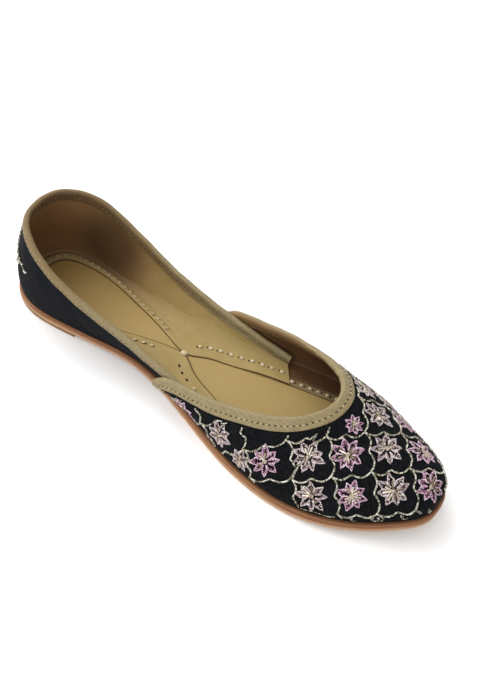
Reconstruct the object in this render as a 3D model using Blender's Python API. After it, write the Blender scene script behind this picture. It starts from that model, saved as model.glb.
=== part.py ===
"""A jutti: a flat leather shoe with a low-cut pointed vamp and a separate heel quarter.

One shoe on a straight last (no left or right). Millimetres in the tables, metres in the meshes.
X runs from heel to toe, Y to the left, Z up; the floor is Z = 0 and the origin lies on it under the
middle of the sole.
"""
import math
from collections import namedtuple

import bpy
import numpy as np

# ------------------------------------------------------------------ driving sizes, mm
LENGTH = 245.0        # outsole, heel to toe
WALL = 2.0            # upper: face fabric, leather lining and paste between them
GAP = 0.3             # clearance between pieces that lie on each other
LIFT = 2.0            # heel lift
LIFT_LENGTH = 48.0
INSOLE = 2.0
WELT = 1.5            # sole edge that shows round the vamp
BITE = 1.0            # how far vamp and quarter are pressed into each other where they are sewn
MM = 0.001

# Half of the sole's outline: distance from the heel, and half width there
Edge = namedtuple("Edge", "x half_width")
SOLE_EDGE = [
    Edge(0, 0), Edge(4, 14), Edge(16, 21.8), Edge(38, 22.6), Edge(65, 19.4), Edge(90, 19.2),
    Edge(118, 25), Edge(148, 34.8), Edge(172, 39), Edge(198, 37.2), Edge(220, 28.4),
    Edge(234, 18.7), Edge(241.6, 11.6), Edge(244.3, 6.4), Edge(LENGTH, 0),
]

# Side view of the sole: heel seat on its lift, shallow arch, flat tread, toe spring
Side = namedtuple("Side", "x bottom thick")
SOLE_SIDE = [
    Side(0, LIFT + GAP, 4.5), Side(56, LIFT + GAP, 4.5), Side(82, 3.4, 4.8), Side(104, 1.6, 5.2),
    Side(122, 0, 5.5), Side(180, 0, 5.5), Side(214, 2.8, 5.5), Side(LENGTH, 9.0, 5.5),
]

# Walls of the upper, a row per section on the left half; the right half mirrors it.
#   foot        mm along the sole edge from the heel's centre (quarter) or the toe's centre (vamp)
#   inset       how far the wall's foot stands in from the sole edge
#   rim_x/y/z   where the section ends on the topline or the throat
#   rim_lean    slope of the wall at the rim, degrees above level, leaning in
#   foot_lean   slope of the wall at the foot, degrees above level, leaning out
#   rim_pull, foot_pull   how far those two slopes hold, mm
Wall = namedtuple("Wall", "foot inset rim_x rim_y rim_z rim_lean rim_pull foot_lean foot_pull")
QUARTER = [
    Wall(0,   1.4,   7.6,  0.0, 55.0, 74, 17, 76, 14),
    Wall(19,  1.2,  12.2, 14.5, 54.5, 76, 17, 75, 14),
    Wall(37,  0.8,  25.5, 24.0, 50.5, 80, 14, 72, 12),
    Wall(61,  0.6,  49.0, 27.0, 40.0, 84, 11, 69, 10),
    Wall(90,  0.9,  78.0, 25.2, 30.5, 84,  8, 71,  8),
    Wall(121, 1.9, 109.0, 25.4, 23.0, 80,  6, 75,  6),
    Wall(157, WELT + WALL - BITE, 146.0, 28.6, 15.0, 72, 3, 80, 3),
]
VAMP = [
    Wall(0,   WELT, 186.0,  0.0, 42.0, 16, 41, 80, 21),
    Wall(15,  WELT, 185.0,  6.6, 41.6, 23, 37, 81, 17),
    Wall(31,  WELT, 181.5, 12.9, 40.5, 33, 26, 83, 12),
    Wall(53,  WELT, 174.0, 19.6, 38.0, 45, 18, 81,  9),
    Wall(79,  WELT, 159.5, 25.3, 34.2, 56, 13, 77, 10),
    Wall(103, WELT, 140.0, 28.4, 29.6, 67, 10, 76, 10),
    Wall(126, WELT, 120.0, 28.8, 25.4, 76,  8, 76,  8),
    Wall(139, WELT, 109.0, 28.6, 21.8, 82,  7, 77,  7),
    Wall(147, WELT, 104.0, 28.4, 17.0, 86,  5, 78,  5),
]

# How far the insole's edge stays in from the sole edge, clear of the walls
Inset = namedtuple("Inset", "foot inset")
INSOLE_EDGE = [
    Inset(0, 4.0), Inset(37, 3.6), Inset(90, 3.6), Inset(121, 4.8), Inset(150, 5.4), Inset(175, 5.4),
    Inset(205, 4.6), Inset(278, 4.3),
]


# ------------------------------------------------------------------ curves through tables
def cubic(knots, rows, start=None, end=None):
    """Smooth curve through table rows; ends are free unless a slope is given."""
    t = np.asarray(knots, float)
    v = np.asarray(rows, float)
    n, h = len(t), np.diff(t)
    a, b = np.zeros((n, n)), np.zeros_like(v)
    for i in range(1, n - 1):
        a[i, i - 1:i + 2] = h[i - 1], 2 * (h[i - 1] + h[i]), h[i]
        b[i] = 6 * ((v[i + 1] - v[i]) / h[i] - (v[i] - v[i - 1]) / h[i - 1])
    a[0, 0] = a[-1, -1] = 1.0
    if start is not None:
        a[0, :2] = 2 * h[0], h[0]
        b[0] = 6 * ((v[1] - v[0]) / h[0] - np.asarray(start))
    if end is not None:
        a[-1, -2:] = h[-1], 2 * h[-1]
        b[-1] = 6 * (np.asarray(end) - (v[-1] - v[-2]) / h[-1])
    m = np.linalg.solve(a, b)

    def at(q):
        q = np.atleast_1d(np.asarray(q, float))
        k = np.clip(np.searchsorted(t, q, side="right") - 1, 0, n - 2)
        up, down, w = (q - t[k])[:, None], (t[k + 1] - q)[:, None], h[k][:, None]
        return ((m[k] * down ** 3 + m[k + 1] * up ** 3) / (6 * w)
                + (v[k] / w - m[k] * w / 6) * down + (v[k + 1] / w - m[k + 1] * w / 6) * up)
    return at


def steady(xs, ys):
    """Curve through a table that keeps its flat stretches exactly flat."""
    x, y = np.asarray(xs, float), np.asarray(ys, float)
    h = np.diff(x)
    d = np.diff(y) / h
    s = np.zeros_like(y)
    for i in range(1, len(x) - 1):
        if d[i - 1] * d[i] > 0:
            w1, w2 = 2 * h[i] + h[i - 1], h[i] + 2 * h[i - 1]
            s[i] = (w1 + w2) / (w1 / d[i - 1] + w2 / d[i])
    s[0], s[-1] = d[0], 1.4 * d[-1]

    def at(q):
        q = np.clip(np.asarray(q, float), x[0], x[-1])
        k = np.clip(np.searchsorted(x, q, side="right") - 1, 0, len(x) - 2)
        u = (q - x[k]) / h[k]
        return (y[k] * (1 + 2 * u) * (1 - u) ** 2 + s[k] * h[k] * u * (1 - u) ** 2
                + y[k + 1] * u * u * (3 - 2 * u) + s[k + 1] * h[k] * u * u * (u - 1))
    return at


# ------------------------------------------------------------------ sole edge and sole side
_nodes = np.array([[e.x, e.half_width] for e in SOLE_EDGE])
_chord = np.r_[0, np.cumsum(np.linalg.norm(np.diff(_nodes, axis=0), axis=1))]
_half = cubic(_chord, _nodes, start=(0, 1), end=(0, -1))(np.linspace(0, _chord[-1], 1600))
_arc = np.r_[0, np.cumsum(np.linalg.norm(np.diff(_half, axis=0), axis=1))]
HALF = float(_arc[-1])                       # heel centre to toe centre along the edge
_dx, _dy = np.gradient(_half[:, 0], _arc), np.gradient(_half[:, 1], _arc)


def edge(arc):
    """Sole edge at a distance from the heel's centre (left positive): x, y, outward normal."""
    a = (np.asarray(arc, float) + HALF) % (2 * HALF) - HALF
    side = np.where(a < 0, -1.0, 1.0)
    a = np.abs(a)
    x, y = np.interp(a, _arc, _half[:, 0]), np.interp(a, _arc, _half[:, 1])
    tx, ty = np.interp(a, _arc, _dx), np.interp(a, _arc, _dy)
    ln = np.hypot(tx, ty)
    return x, side * y, -ty / ln, side * tx / ln


under = steady([r.x for r in SOLE_SIDE], [r.bottom for r in SOLE_SIDE])
thick = steady([r.x for r in SOLE_SIDE], [r.thick for r in SOLE_SIDE])


def seat(x):
    """Top face of the outsole."""
    return under(x) + thick(x)


# ------------------------------------------------------------------ walls of the upper
def wall_face(rows, from_toe, lift):
    """Outer face of a wall piece as point(foot, up), up from 0 at the foot to 1 at the rim."""
    full = [r._replace(foot=-r.foot, rim_y=-r.rim_y) for r in rows[:0:-1]] + list(rows)
    columns = cubic([r.foot for r in full], [list(r[1:]) for r in full])

    def point(foot, up):
        f = np.atleast_1d(np.asarray(foot, float))
        t = np.atleast_1d(np.asarray(up, float))[None, :, None]
        inset, rx, ry, rz, rim_lean, rim_pull, foot_lean, foot_pull = columns(f).T
        x, y, nx, ny = edge(HALF - f if from_toe else f)
        start = np.stack([x - inset * nx, y - inset * ny, np.zeros_like(x)], 1)
        start[:, 2] = seat(start[:, 0]) + lift
        out = np.stack([nx, ny, 0 * nx], 1)
        run = columns(f + 0.01)[:, 1:3] - columns(f - 0.01)[:, 1:3]
        inward = np.stack([-run[:, 1], run[:, 0], 0 * nx], 1)
        inward /= np.linalg.norm(inward, axis=1)[:, None]
        inward *= -np.sign((inward * out).sum(1))[:, None]
        rise = np.array([0, 0, 1.0])
        rl, fl = np.radians(rim_lean)[:, None], np.radians(foot_lean)[:, None]
        rim = np.stack([rx, ry, rz], 1)
        knee = start + foot_pull[:, None] * (np.cos(fl) * out + np.sin(fl) * rise)
        brow = rim - rim_pull[:, None] * (np.cos(rl) * inward + np.sin(rl) * rise)
        return ((1 - t) ** 3 * start[:, None] + 3 * (1 - t) ** 2 * t * knee[:, None]
                + 3 * (1 - t) * t * t * brow[:, None] + t ** 3 * rim[:, None])
    point.span = rows[-1].foot
    return point


quarter_face = wall_face(QUARTER, False, GAP + 0.15)
vamp_face = wall_face(VAMP, True, GAP)


def wall_grids(face, across, ups, lift):
    """Outer and inner grids of a wall piece, WALL apart."""
    foots = np.linspace(-face.span, face.span, across)
    outer = face(foots, ups)
    e = 1e-3
    du = face(np.clip(foots + 0.05, -face.span, face.span), ups) - face(np.clip(foots - 0.05, -face.span, face.span), ups)
    dt = face(foots, np.clip(ups + e, 0, 1)) - face(foots, np.clip(ups - e, 0, 1))
    n = np.cross(du, dt)
    n /= np.linalg.norm(n, axis=2)[:, :, None]
    middle = outer.mean(axis=(0, 1)) - np.array([0, 0, 30.0])
    if ((outer - middle) * n).sum() < 0:
        n = -n
    level = n[:, :1].copy()                  # the foot is cut level on the sole
    level[:, :, 2] = 0
    level /= np.linalg.norm(level, axis=2)[:, :, None]
    n[:, 0] = level[:, 0]
    inner = outer - WALL * n
    inner[:, 0, 2] = seat(inner[:, 0, 0]) + lift
    return outer, inner


# ------------------------------------------------------------------ meshes
def add_object(name, verts, faces, colour, roughness):
    mesh = bpy.data.meshes.new(name)
    shifted = (np.asarray(verts, float) - np.array([LENGTH / 2, 0, 0])) * MM
    mesh.from_pydata(shifted.tolist(), [], faces)
    mesh.validate()
    mesh.update()
    mesh.shade_smooth()
    mesh.set_sharp_from_angle(angle=math.radians(35))
    obj = bpy.data.objects.new(name, mesh)
    bpy.context.scene.collection.objects.link(obj)
    mat = bpy.data.materials.new(name)
    mat.use_nodes = True
    bsdf = mat.node_tree.nodes["Principled BSDF"]
    bsdf.inputs["Base Color"].default_value = (*colour, 1)
    bsdf.inputs["Roughness"].default_value = roughness
    bsdf.inputs["Metallic"].default_value = 0.0
    mesh.materials.append(mat)
    return obj


def wall_piece(name, outer, inner, colour, roughness):
    """Closed solid between two grids."""
    m, n = outer.shape[:2]
    verts = np.concatenate([outer.reshape(-1, 3), inner.reshape(-1, 3)])
    o = lambda i, j: i * n + j
    p = lambda i, j: m * n + i * n + j
    faces = []
    for i in range(m - 1):
        for j in range(n - 1):
            faces.append((o(i, j), o(i, j + 1), o(i + 1, j + 1), o(i + 1, j)))
            faces.append((p(i, j), p(i + 1, j), p(i + 1, j + 1), p(i, j + 1)))
        faces.append((o(i, 0), o(i + 1, 0), p(i + 1, 0), p(i, 0)))
        faces.append((o(i, n - 1), p(i, n - 1), p(i + 1, n - 1), o(i + 1, n - 1)))
    for j in range(n - 1):
        faces.append((o(0, j), p(0, j), p(0, j + 1), o(0, j + 1)))
        faces.append((o(m - 1, j), o(m - 1, j + 1), p(m - 1, j + 1), p(m - 1, j)))
    solid = volume(verts, faces)
    if solid < 0:
        faces = [f[::-1] for f in faces]
    return add_object(name, verts, faces, colour, roughness)


def volume(verts, faces):
    v = np.asarray(verts)
    return sum(float(np.dot(v[f[0]], np.cross(v[f[i]], v[f[i + 1]]))) for f in faces for i in range(1, len(f) - 1)) / 6


def slab(name, arcs, inset, low, high, colour, roughness):
    """Flat piece of the sole: level strips from edge to edge, low(x) and high(x) its two faces."""
    x, y, nx, ny = edge(arcs)
    x, y = x - inset * nx, y - inset * ny
    tip_start, tip_end = abs(y[0]) < 1e-6, abs(y[-1]) < 1e-6
    verts, rings = [], []
    for i in range(len(x)):
        sides = (0.0,) if (i == 0 and tip_start) or (i == len(x) - 1 and tip_end) else (-y[i], y[i])
        ring = []
        for z in (low(x[i]), high(x[i])):
            for s in sides:
                ring.append(len(verts))
                verts.append((x[i], s, float(z)))
        rings.append(ring if len(ring) == 4 else [ring[0], ring[0], ring[1], ring[1]])
    faces = []
    for a, b in zip(rings[:-1], rings[1:]):
        for quad in ((a[0], a[1], b[1], b[0]), (a[2], b[2], b[3], a[3]),
                     (a[0], b[0], b[2], a[2]), (a[1], a[3], b[3], b[1])):
            loop = [q for k, q in enumerate(quad) if q != quad[k - 1]]
            if len(loop) > 2:
                faces.append(tuple(loop))
    for ring, tip, turn in ((rings[0], tip_start, 1), (rings[-1], tip_end, -1)):
        if not tip:
            faces.append((ring[0], ring[2], ring[3], ring[1])[::turn])
    if volume(verts, faces) < 0:
        faces = [f[::-1] for f in faces]
    return add_object(name, verts, faces, colour, roughness)


# ------------------------------------------------------------------ the shoe
def main():
    for obj in list(bpy.data.objects):
        bpy.data.objects.remove(obj, do_unlink=True)

    slab("outsole", np.linspace(0, HALF, 89), 0.0, under, seat, (0.42, 0.21, 0.09), 0.6)

    lift_end = float(np.interp(LIFT_LENGTH, _half[:600, 0], _arc[:600]))
    slab("heel_lift", np.linspace(0, lift_end, 25), 0.4, lambda x: 0.0, lambda x: LIFT, (0.32, 0.15, 0.07), 0.6)

    insole_arcs = np.linspace(0, HALF, 81)
    insole_inset = steady([r.foot for r in INSOLE_EDGE], [r.inset for r in INSOLE_EDGE])(insole_arcs)
    slab("insole", insole_arcs, insole_inset, lambda x: seat(x) + GAP, lambda x: seat(x) + GAP + INSOLE,
         (0.42, 0.29, 0.12), 0.5)

    ups = np.linspace(0, 1, 12)
    vamp = wall_piece("upper", *wall_grids(vamp_face, 65, ups, GAP), (0.013, 0.016, 0.021), 0.6)
    ups = np.linspace(0, 1, 10)
    quarter = wall_piece("quarter_guide", *wall_grids(quarter_face, 61, ups, GAP + 0.15), (0.013, 0.016, 0.021), 0.6)
    quarter.hide_render = True
    quarter.display_type = "WIRE"
    sewn = vamp.modifiers.new("sewn to the quarter", "BOOLEAN")
    sewn.operation = "UNION"
    sewn.solver = "EXACT"
    sewn.object = quarter


main()
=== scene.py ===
"""Looks of the jutti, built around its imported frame.

Millimetres in the tables, x from the heel's back to the toe, y to the left, z up from the floor.
"""

import math
from collections import namedtuple

import bpy
import bmesh
import numpy as np
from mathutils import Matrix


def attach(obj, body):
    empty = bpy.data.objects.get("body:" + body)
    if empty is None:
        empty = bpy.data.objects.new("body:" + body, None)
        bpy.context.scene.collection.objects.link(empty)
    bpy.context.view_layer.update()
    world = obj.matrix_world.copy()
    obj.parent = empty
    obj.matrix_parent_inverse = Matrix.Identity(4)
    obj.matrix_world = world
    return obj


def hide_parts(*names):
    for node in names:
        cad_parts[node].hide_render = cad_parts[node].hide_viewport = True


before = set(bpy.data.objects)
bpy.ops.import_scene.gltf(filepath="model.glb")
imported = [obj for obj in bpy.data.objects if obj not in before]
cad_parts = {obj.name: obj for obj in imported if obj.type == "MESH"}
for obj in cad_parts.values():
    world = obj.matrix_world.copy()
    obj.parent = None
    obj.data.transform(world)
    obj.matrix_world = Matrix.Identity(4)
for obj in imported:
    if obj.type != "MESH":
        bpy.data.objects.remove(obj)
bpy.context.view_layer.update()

# ------------------------------------------------------------------ sizes of the shoe, mm
LENGTH = 245.0
WALL = 2.0
GAP = 0.3
LIFT = 2.0
LIFT_LENGTH = 48.0
INSOLE = 2.0
WELT = 1.5
BITE = 1.0
MM = 0.001

Edge = namedtuple("Edge", "x half_width")
SOLE_EDGE = [
    Edge(0, 0), Edge(4, 14), Edge(16, 21.8), Edge(38, 22.6), Edge(65, 19.4), Edge(90, 19.2),
    Edge(118, 25), Edge(148, 34.8), Edge(172, 39), Edge(198, 37.2), Edge(220, 28.4),
    Edge(234, 18.7), Edge(241.6, 11.6), Edge(244.3, 6.4), Edge(LENGTH, 0),
]
Side = namedtuple("Side", "x bottom thick")
SOLE_SIDE = [
    Side(0, LIFT + GAP, 4.5), Side(56, LIFT + GAP, 4.5), Side(82, 3.4, 4.8), Side(104, 1.6, 5.2),
    Side(122, 0, 5.5), Side(180, 0, 5.5), Side(214, 2.8, 5.5), Side(LENGTH, 9.0, 5.5),
]
Wall = namedtuple("Wall", "foot inset rim_x rim_y rim_z rim_lean rim_pull foot_lean foot_pull")
QUARTER = [
    Wall(0,   1.4,   7.6,  0.0, 55.0, 74, 17, 76, 14),
    Wall(19,  1.2,  12.2, 14.5, 54.5, 76, 17, 75, 14),
    Wall(37,  0.8,  25.5, 24.0, 50.5, 80, 14, 72, 12),
    Wall(61,  0.6,  49.0, 27.0, 40.0, 84, 11, 69, 10),
    Wall(90,  0.9,  78.0, 25.2, 30.5, 84,  8, 71,  8),
    Wall(121, 1.9, 109.0, 25.4, 23.0, 80,  6, 75,  6),
    Wall(157, WELT + WALL - BITE, 146.0, 28.6, 15.0, 72, 3, 80, 3),
]
VAMP = [
    Wall(0,   WELT, 186.0,  0.0, 42.0, 16, 41, 80, 21),
    Wall(15,  WELT, 185.0,  6.6, 41.6, 23, 37, 81, 17),
    Wall(31,  WELT, 181.5, 12.9, 40.5, 33, 26, 83, 12),
    Wall(53,  WELT, 174.0, 19.6, 38.0, 45, 18, 81,  9),
    Wall(79,  WELT, 159.5, 25.3, 34.2, 56, 13, 77, 10),
    Wall(103, WELT, 140.0, 28.4, 29.6, 67, 10, 76, 10),
    Wall(126, WELT, 120.0, 28.8, 25.4, 76,  8, 76,  8),
    Wall(139, WELT, 109.0, 28.6, 21.8, 82,  7, 77,  7),
    Wall(147, WELT, 104.0, 28.4, 17.0, 86,  5, 78,  5),
]
Inset = namedtuple("Inset", "foot inset")
INSOLE_EDGE = [
    Inset(0, 4.0), Inset(37, 3.6), Inset(90, 3.6), Inset(121, 4.8), Inset(150, 5.4), Inset(175, 5.4),
    Inset(205, 4.6), Inset(278, 4.3),
]

# Shallow hollows and swells of the worn-in upper: where, how deep (outward positive), how wide
Dent = namedtuple("Dent", "foot up depth foot_size up_size")
VAMP_DENTS = [
    Dent(-62, 0.55, -0.55, 16, 0.26), Dent(-98, 0.45, 0.35, 14, 0.3), Dent(70, 0.55, -0.5, 18, 0.26),
    Dent(104, 0.4, 0.3, 15, 0.3), Dent(-20, 0.5, 0.3, 14, 0.2), Dent(24, 0.45, -0.3, 15, 0.2),
    Dent(-126, 0.5, -0.3, 8, 0.3), Dent(0, 0.72, -0.3, 12, 0.16), Dent(-40, 0.3, 0.3, 10, 0.2),
]
QUARTER_DENTS = [
    Dent(-30, 0.45, -0.7, 15, 0.25), Dent(28, 0.5, -0.6, 14, 0.25), Dent(0, 0.3, 0.4, 16, 0.22),
    Dent(-66, 0.5, -0.45, 12, 0.3), Dent(72, 0.55, 0.5, 16, 0.3), Dent(98, 0.5, -0.5, 10, 0.35),
    Dent(-96, 0.5, 0.35, 12, 0.3), Dent(46, 0.75, 0.35, 10, 0.16), Dent(-44, 0.8, -0.3, 9, 0.14),
]

# Inner edge of the sewn-in flanges on the insole, left half: rand round the heel, meeting at the
# waist, then opening again over the forefoot
Flange = namedtuple("Flange", "foot x y")
QUARTER_FLANGE = [
    Flange(0, 10.4, 0), Flange(10, 11.2, 6.2), Flange(20, 15.0, 11.4), Flange(31, 24.5, 14.4),
    Flange(46, 40, 14.8), Flange(62, 56, 12.0), Flange(78, 74, 7.3), Flange(91, 89, 2.8),
    Flange(100, 99.4, 0.3), Flange(104, 103.2, 0.6), Flange(113, 111, 5.2), Flange(124, 121.5, 9.2),
    Flange(141, 137.5, 14.4), Flange(157, 152.3, 18.3),
]
VAMP_FLANGE = [
    Flange(0, 234, 0), Flange(15, 230.5, 9.5), Flange(31, 220, 17.2), Flange(53, 205, 24.2),
    Flange(79, 185, 25.0), Flange(103, 163, 20.8), Flange(124, 144, 16.4),
]


# ------------------------------------------------------------------ curves through tables
def cubic(knots, rows, start=None, end=None):
    t = np.asarray(knots, float)
    v = np.asarray(rows, float)
    n, h = len(t), np.diff(t)
    a, b = np.zeros((n, n)), np.zeros_like(v)
    for i in range(1, n - 1):
        a[i, i - 1:i + 2] = h[i - 1], 2 * (h[i - 1] + h[i]), h[i]
        b[i] = 6 * ((v[i + 1] - v[i]) / h[i] - (v[i] - v[i - 1]) / h[i - 1])
    a[0, 0] = a[-1, -1] = 1.0
    if start is not None:
        a[0, :2] = 2 * h[0], h[0]
        b[0] = 6 * ((v[1] - v[0]) / h[0] - np.asarray(start))
    if end is not None:
        a[-1, -2:] = h[-1], 2 * h[-1]
        b[-1] = 6 * (np.asarray(end) - (v[-1] - v[-2]) / h[-1])
    m = np.linalg.solve(a, b)

    def at(q):
        q = np.atleast_1d(np.asarray(q, float))
        k = np.clip(np.searchsorted(t, q, side="right") - 1, 0, n - 2)
        up, down, w = (q - t[k])[:, None], (t[k + 1] - q)[:, None], h[k][:, None]
        return ((m[k] * down ** 3 + m[k + 1] * up ** 3) / (6 * w)
                + (v[k] / w - m[k] * w / 6) * down + (v[k + 1] / w - m[k + 1] * w / 6) * up)
    return at


def steady(xs, ys):
    x, y = np.asarray(xs, float), np.asarray(ys, float)
    h = np.diff(x)
    d = np.diff(y) / h
    s = np.zeros_like(y)
    for i in range(1, len(x) - 1):
        if d[i - 1] * d[i] > 0:
            w1, w2 = 2 * h[i] + h[i - 1], h[i] + 2 * h[i - 1]
            s[i] = (w1 + w2) / (w1 / d[i - 1] + w2 / d[i])
    s[0], s[-1] = d[0], 1.4 * d[-1]

    def at(q):
        q = np.clip(np.asarray(q, float), x[0], x[-1])
        k = np.clip(np.searchsorted(x, q, side="right") - 1, 0, len(x) - 2)
        u = (q - x[k]) / h[k]
        return (y[k] * (1 + 2 * u) * (1 - u) ** 2 + s[k] * h[k] * u * (1 - u) ** 2
                + y[k + 1] * u * u * (3 - 2 * u) + s[k + 1] * h[k] * u * u * (u - 1))
    return at


def smooth(lo, hi, q):
    t = np.clip((np.asarray(q, float) - lo) / (hi - lo), 0, 1)
    return t * t * (3 - 2 * t)


_nodes = np.array([[e.x, e.half_width] for e in SOLE_EDGE])
_chord = np.r_[0, np.cumsum(np.linalg.norm(np.diff(_nodes, axis=0), axis=1))]
_half = cubic(_chord, _nodes, start=(0, 1), end=(0, -1))(np.linspace(0, _chord[-1], 1600))
_arc = np.r_[0, np.cumsum(np.linalg.norm(np.diff(_half, axis=0), axis=1))]
HALF = float(_arc[-1])
_dx, _dy = np.gradient(_half[:, 0], _arc), np.gradient(_half[:, 1], _arc)


def edge(arc):
    """Sole edge at a distance from the heel's centre (left positive): x, y, outward normal."""
    a = (np.asarray(arc, float) + HALF) % (2 * HALF) - HALF
    side = np.where(a < 0, -1.0, 1.0)
    a = np.abs(a)
    x, y = np.interp(a, _arc, _half[:, 0]), np.interp(a, _arc, _half[:, 1])
    tx, ty = np.interp(a, _arc, _dx), np.interp(a, _arc, _dy)
    ln = np.hypot(tx, ty)
    return x, side * y, -ty / ln, side * tx / ln


under = steady([r.x for r in SOLE_SIDE], [r.bottom for r in SOLE_SIDE])
thick = steady([r.x for r in SOLE_SIDE], [r.thick for r in SOLE_SIDE])


def seat(x):
    return under(x) + thick(x)


def unit(v):
    return v / np.maximum(np.linalg.norm(v, axis=-1, keepdims=True), 1e-12)


class Skin:
    """Outer face of a wall piece: at(foot, up) for arrays of any shape, up from the sole to the rim."""

    def __init__(self, rows, from_toe, lift, dents, front):
        full = [r._replace(foot=-r.foot, rim_y=-r.rim_y) for r in rows[:0:-1]] + list(rows)
        self.columns = cubic([r.foot for r in full], [list(r[1:]) for r in full])
        self.from_toe, self.lift, self.dents = from_toe, lift, dents
        self.span, self.turn = rows[-1].foot, 1.0
        if self.normal(np.array([0.0]), np.array([0.4]))[0, 0] * front < 0:
            self.turn = -1.0

    def base(self, foot, up):
        f, t = np.broadcast_arrays(np.asarray(foot, float), np.asarray(up, float))
        shape, f, t = f.shape, f.ravel(), t.ravel()[:, None]
        inset, rx, ry, rz, rim_lean, rim_pull, foot_lean, foot_pull = self.columns(f).T
        x, y, nx, ny = edge(HALF - f if self.from_toe else f)
        start = np.stack([x - inset * nx, y - inset * ny, np.zeros_like(x)], 1)
        start[:, 2] = seat(start[:, 0]) + self.lift
        out = np.stack([nx, ny, 0 * nx], 1)
        run = self.columns(f + 0.01)[:, 1:3] - self.columns(f - 0.01)[:, 1:3]
        inward = unit(np.stack([-run[:, 1], run[:, 0], 0 * nx], 1))
        inward = inward * -np.sign((inward * out).sum(1))[:, None]
        rise = np.array([0, 0, 1.0])
        rl, fl = np.radians(rim_lean)[:, None], np.radians(foot_lean)[:, None]
        rim = np.stack([rx, ry, rz], 1)
        knee = start + foot_pull[:, None] * (np.cos(fl) * out + np.sin(fl) * rise)
        brow = rim - rim_pull[:, None] * (np.cos(rl) * inward + np.sin(rl) * rise)
        p = ((1 - t) ** 3 * start + 3 * (1 - t) ** 2 * t * knee + 3 * (1 - t) * t * t * brow + t ** 3 * rim)
        return p.reshape(shape + (3,))

    def normal(self, foot, up):
        f, t = np.broadcast_arrays(np.asarray(foot, float), np.asarray(up, float))
        e, h = 0.15, 0.006
        du = self.base(f + e, t) - self.base(f - e, t)
        dv = self.base(f, np.minimum(t + h, 1)) - self.base(f, np.maximum(t - h, 0))
        return unit(np.cross(du, dv)) * self.turn

    def swell(self, foot, up):
        f, t = np.broadcast_arrays(np.asarray(foot, float), np.asarray(up, float))
        d = np.zeros(f.shape)
        for q in self.dents:
            d += q.depth * np.exp(-((f - q.foot) / q.foot_size) ** 2 - ((t - q.up) / q.up_size) ** 2)
        d += 0.10 * np.sin(0.21 * f + 5.1 * t + 0.7) + 0.07 * np.sin(0.47 * f - 7.3 * t + 2.0)
        return d * smooth(0, 0.18, t)

    def at(self, foot, up, off=0.0):
        f, t = np.broadcast_arrays(np.asarray(foot, float), np.asarray(up, float))
        d = self.swell(f, t) + off
        return self.base(f, t) + d[..., None] * self.normal(f, t)


vamp = Skin(VAMP, True, GAP, VAMP_DENTS, 1.0)
quarter = Skin(QUARTER, False, GAP + 0.15, QUARTER_DENTS, -1.0)


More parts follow.
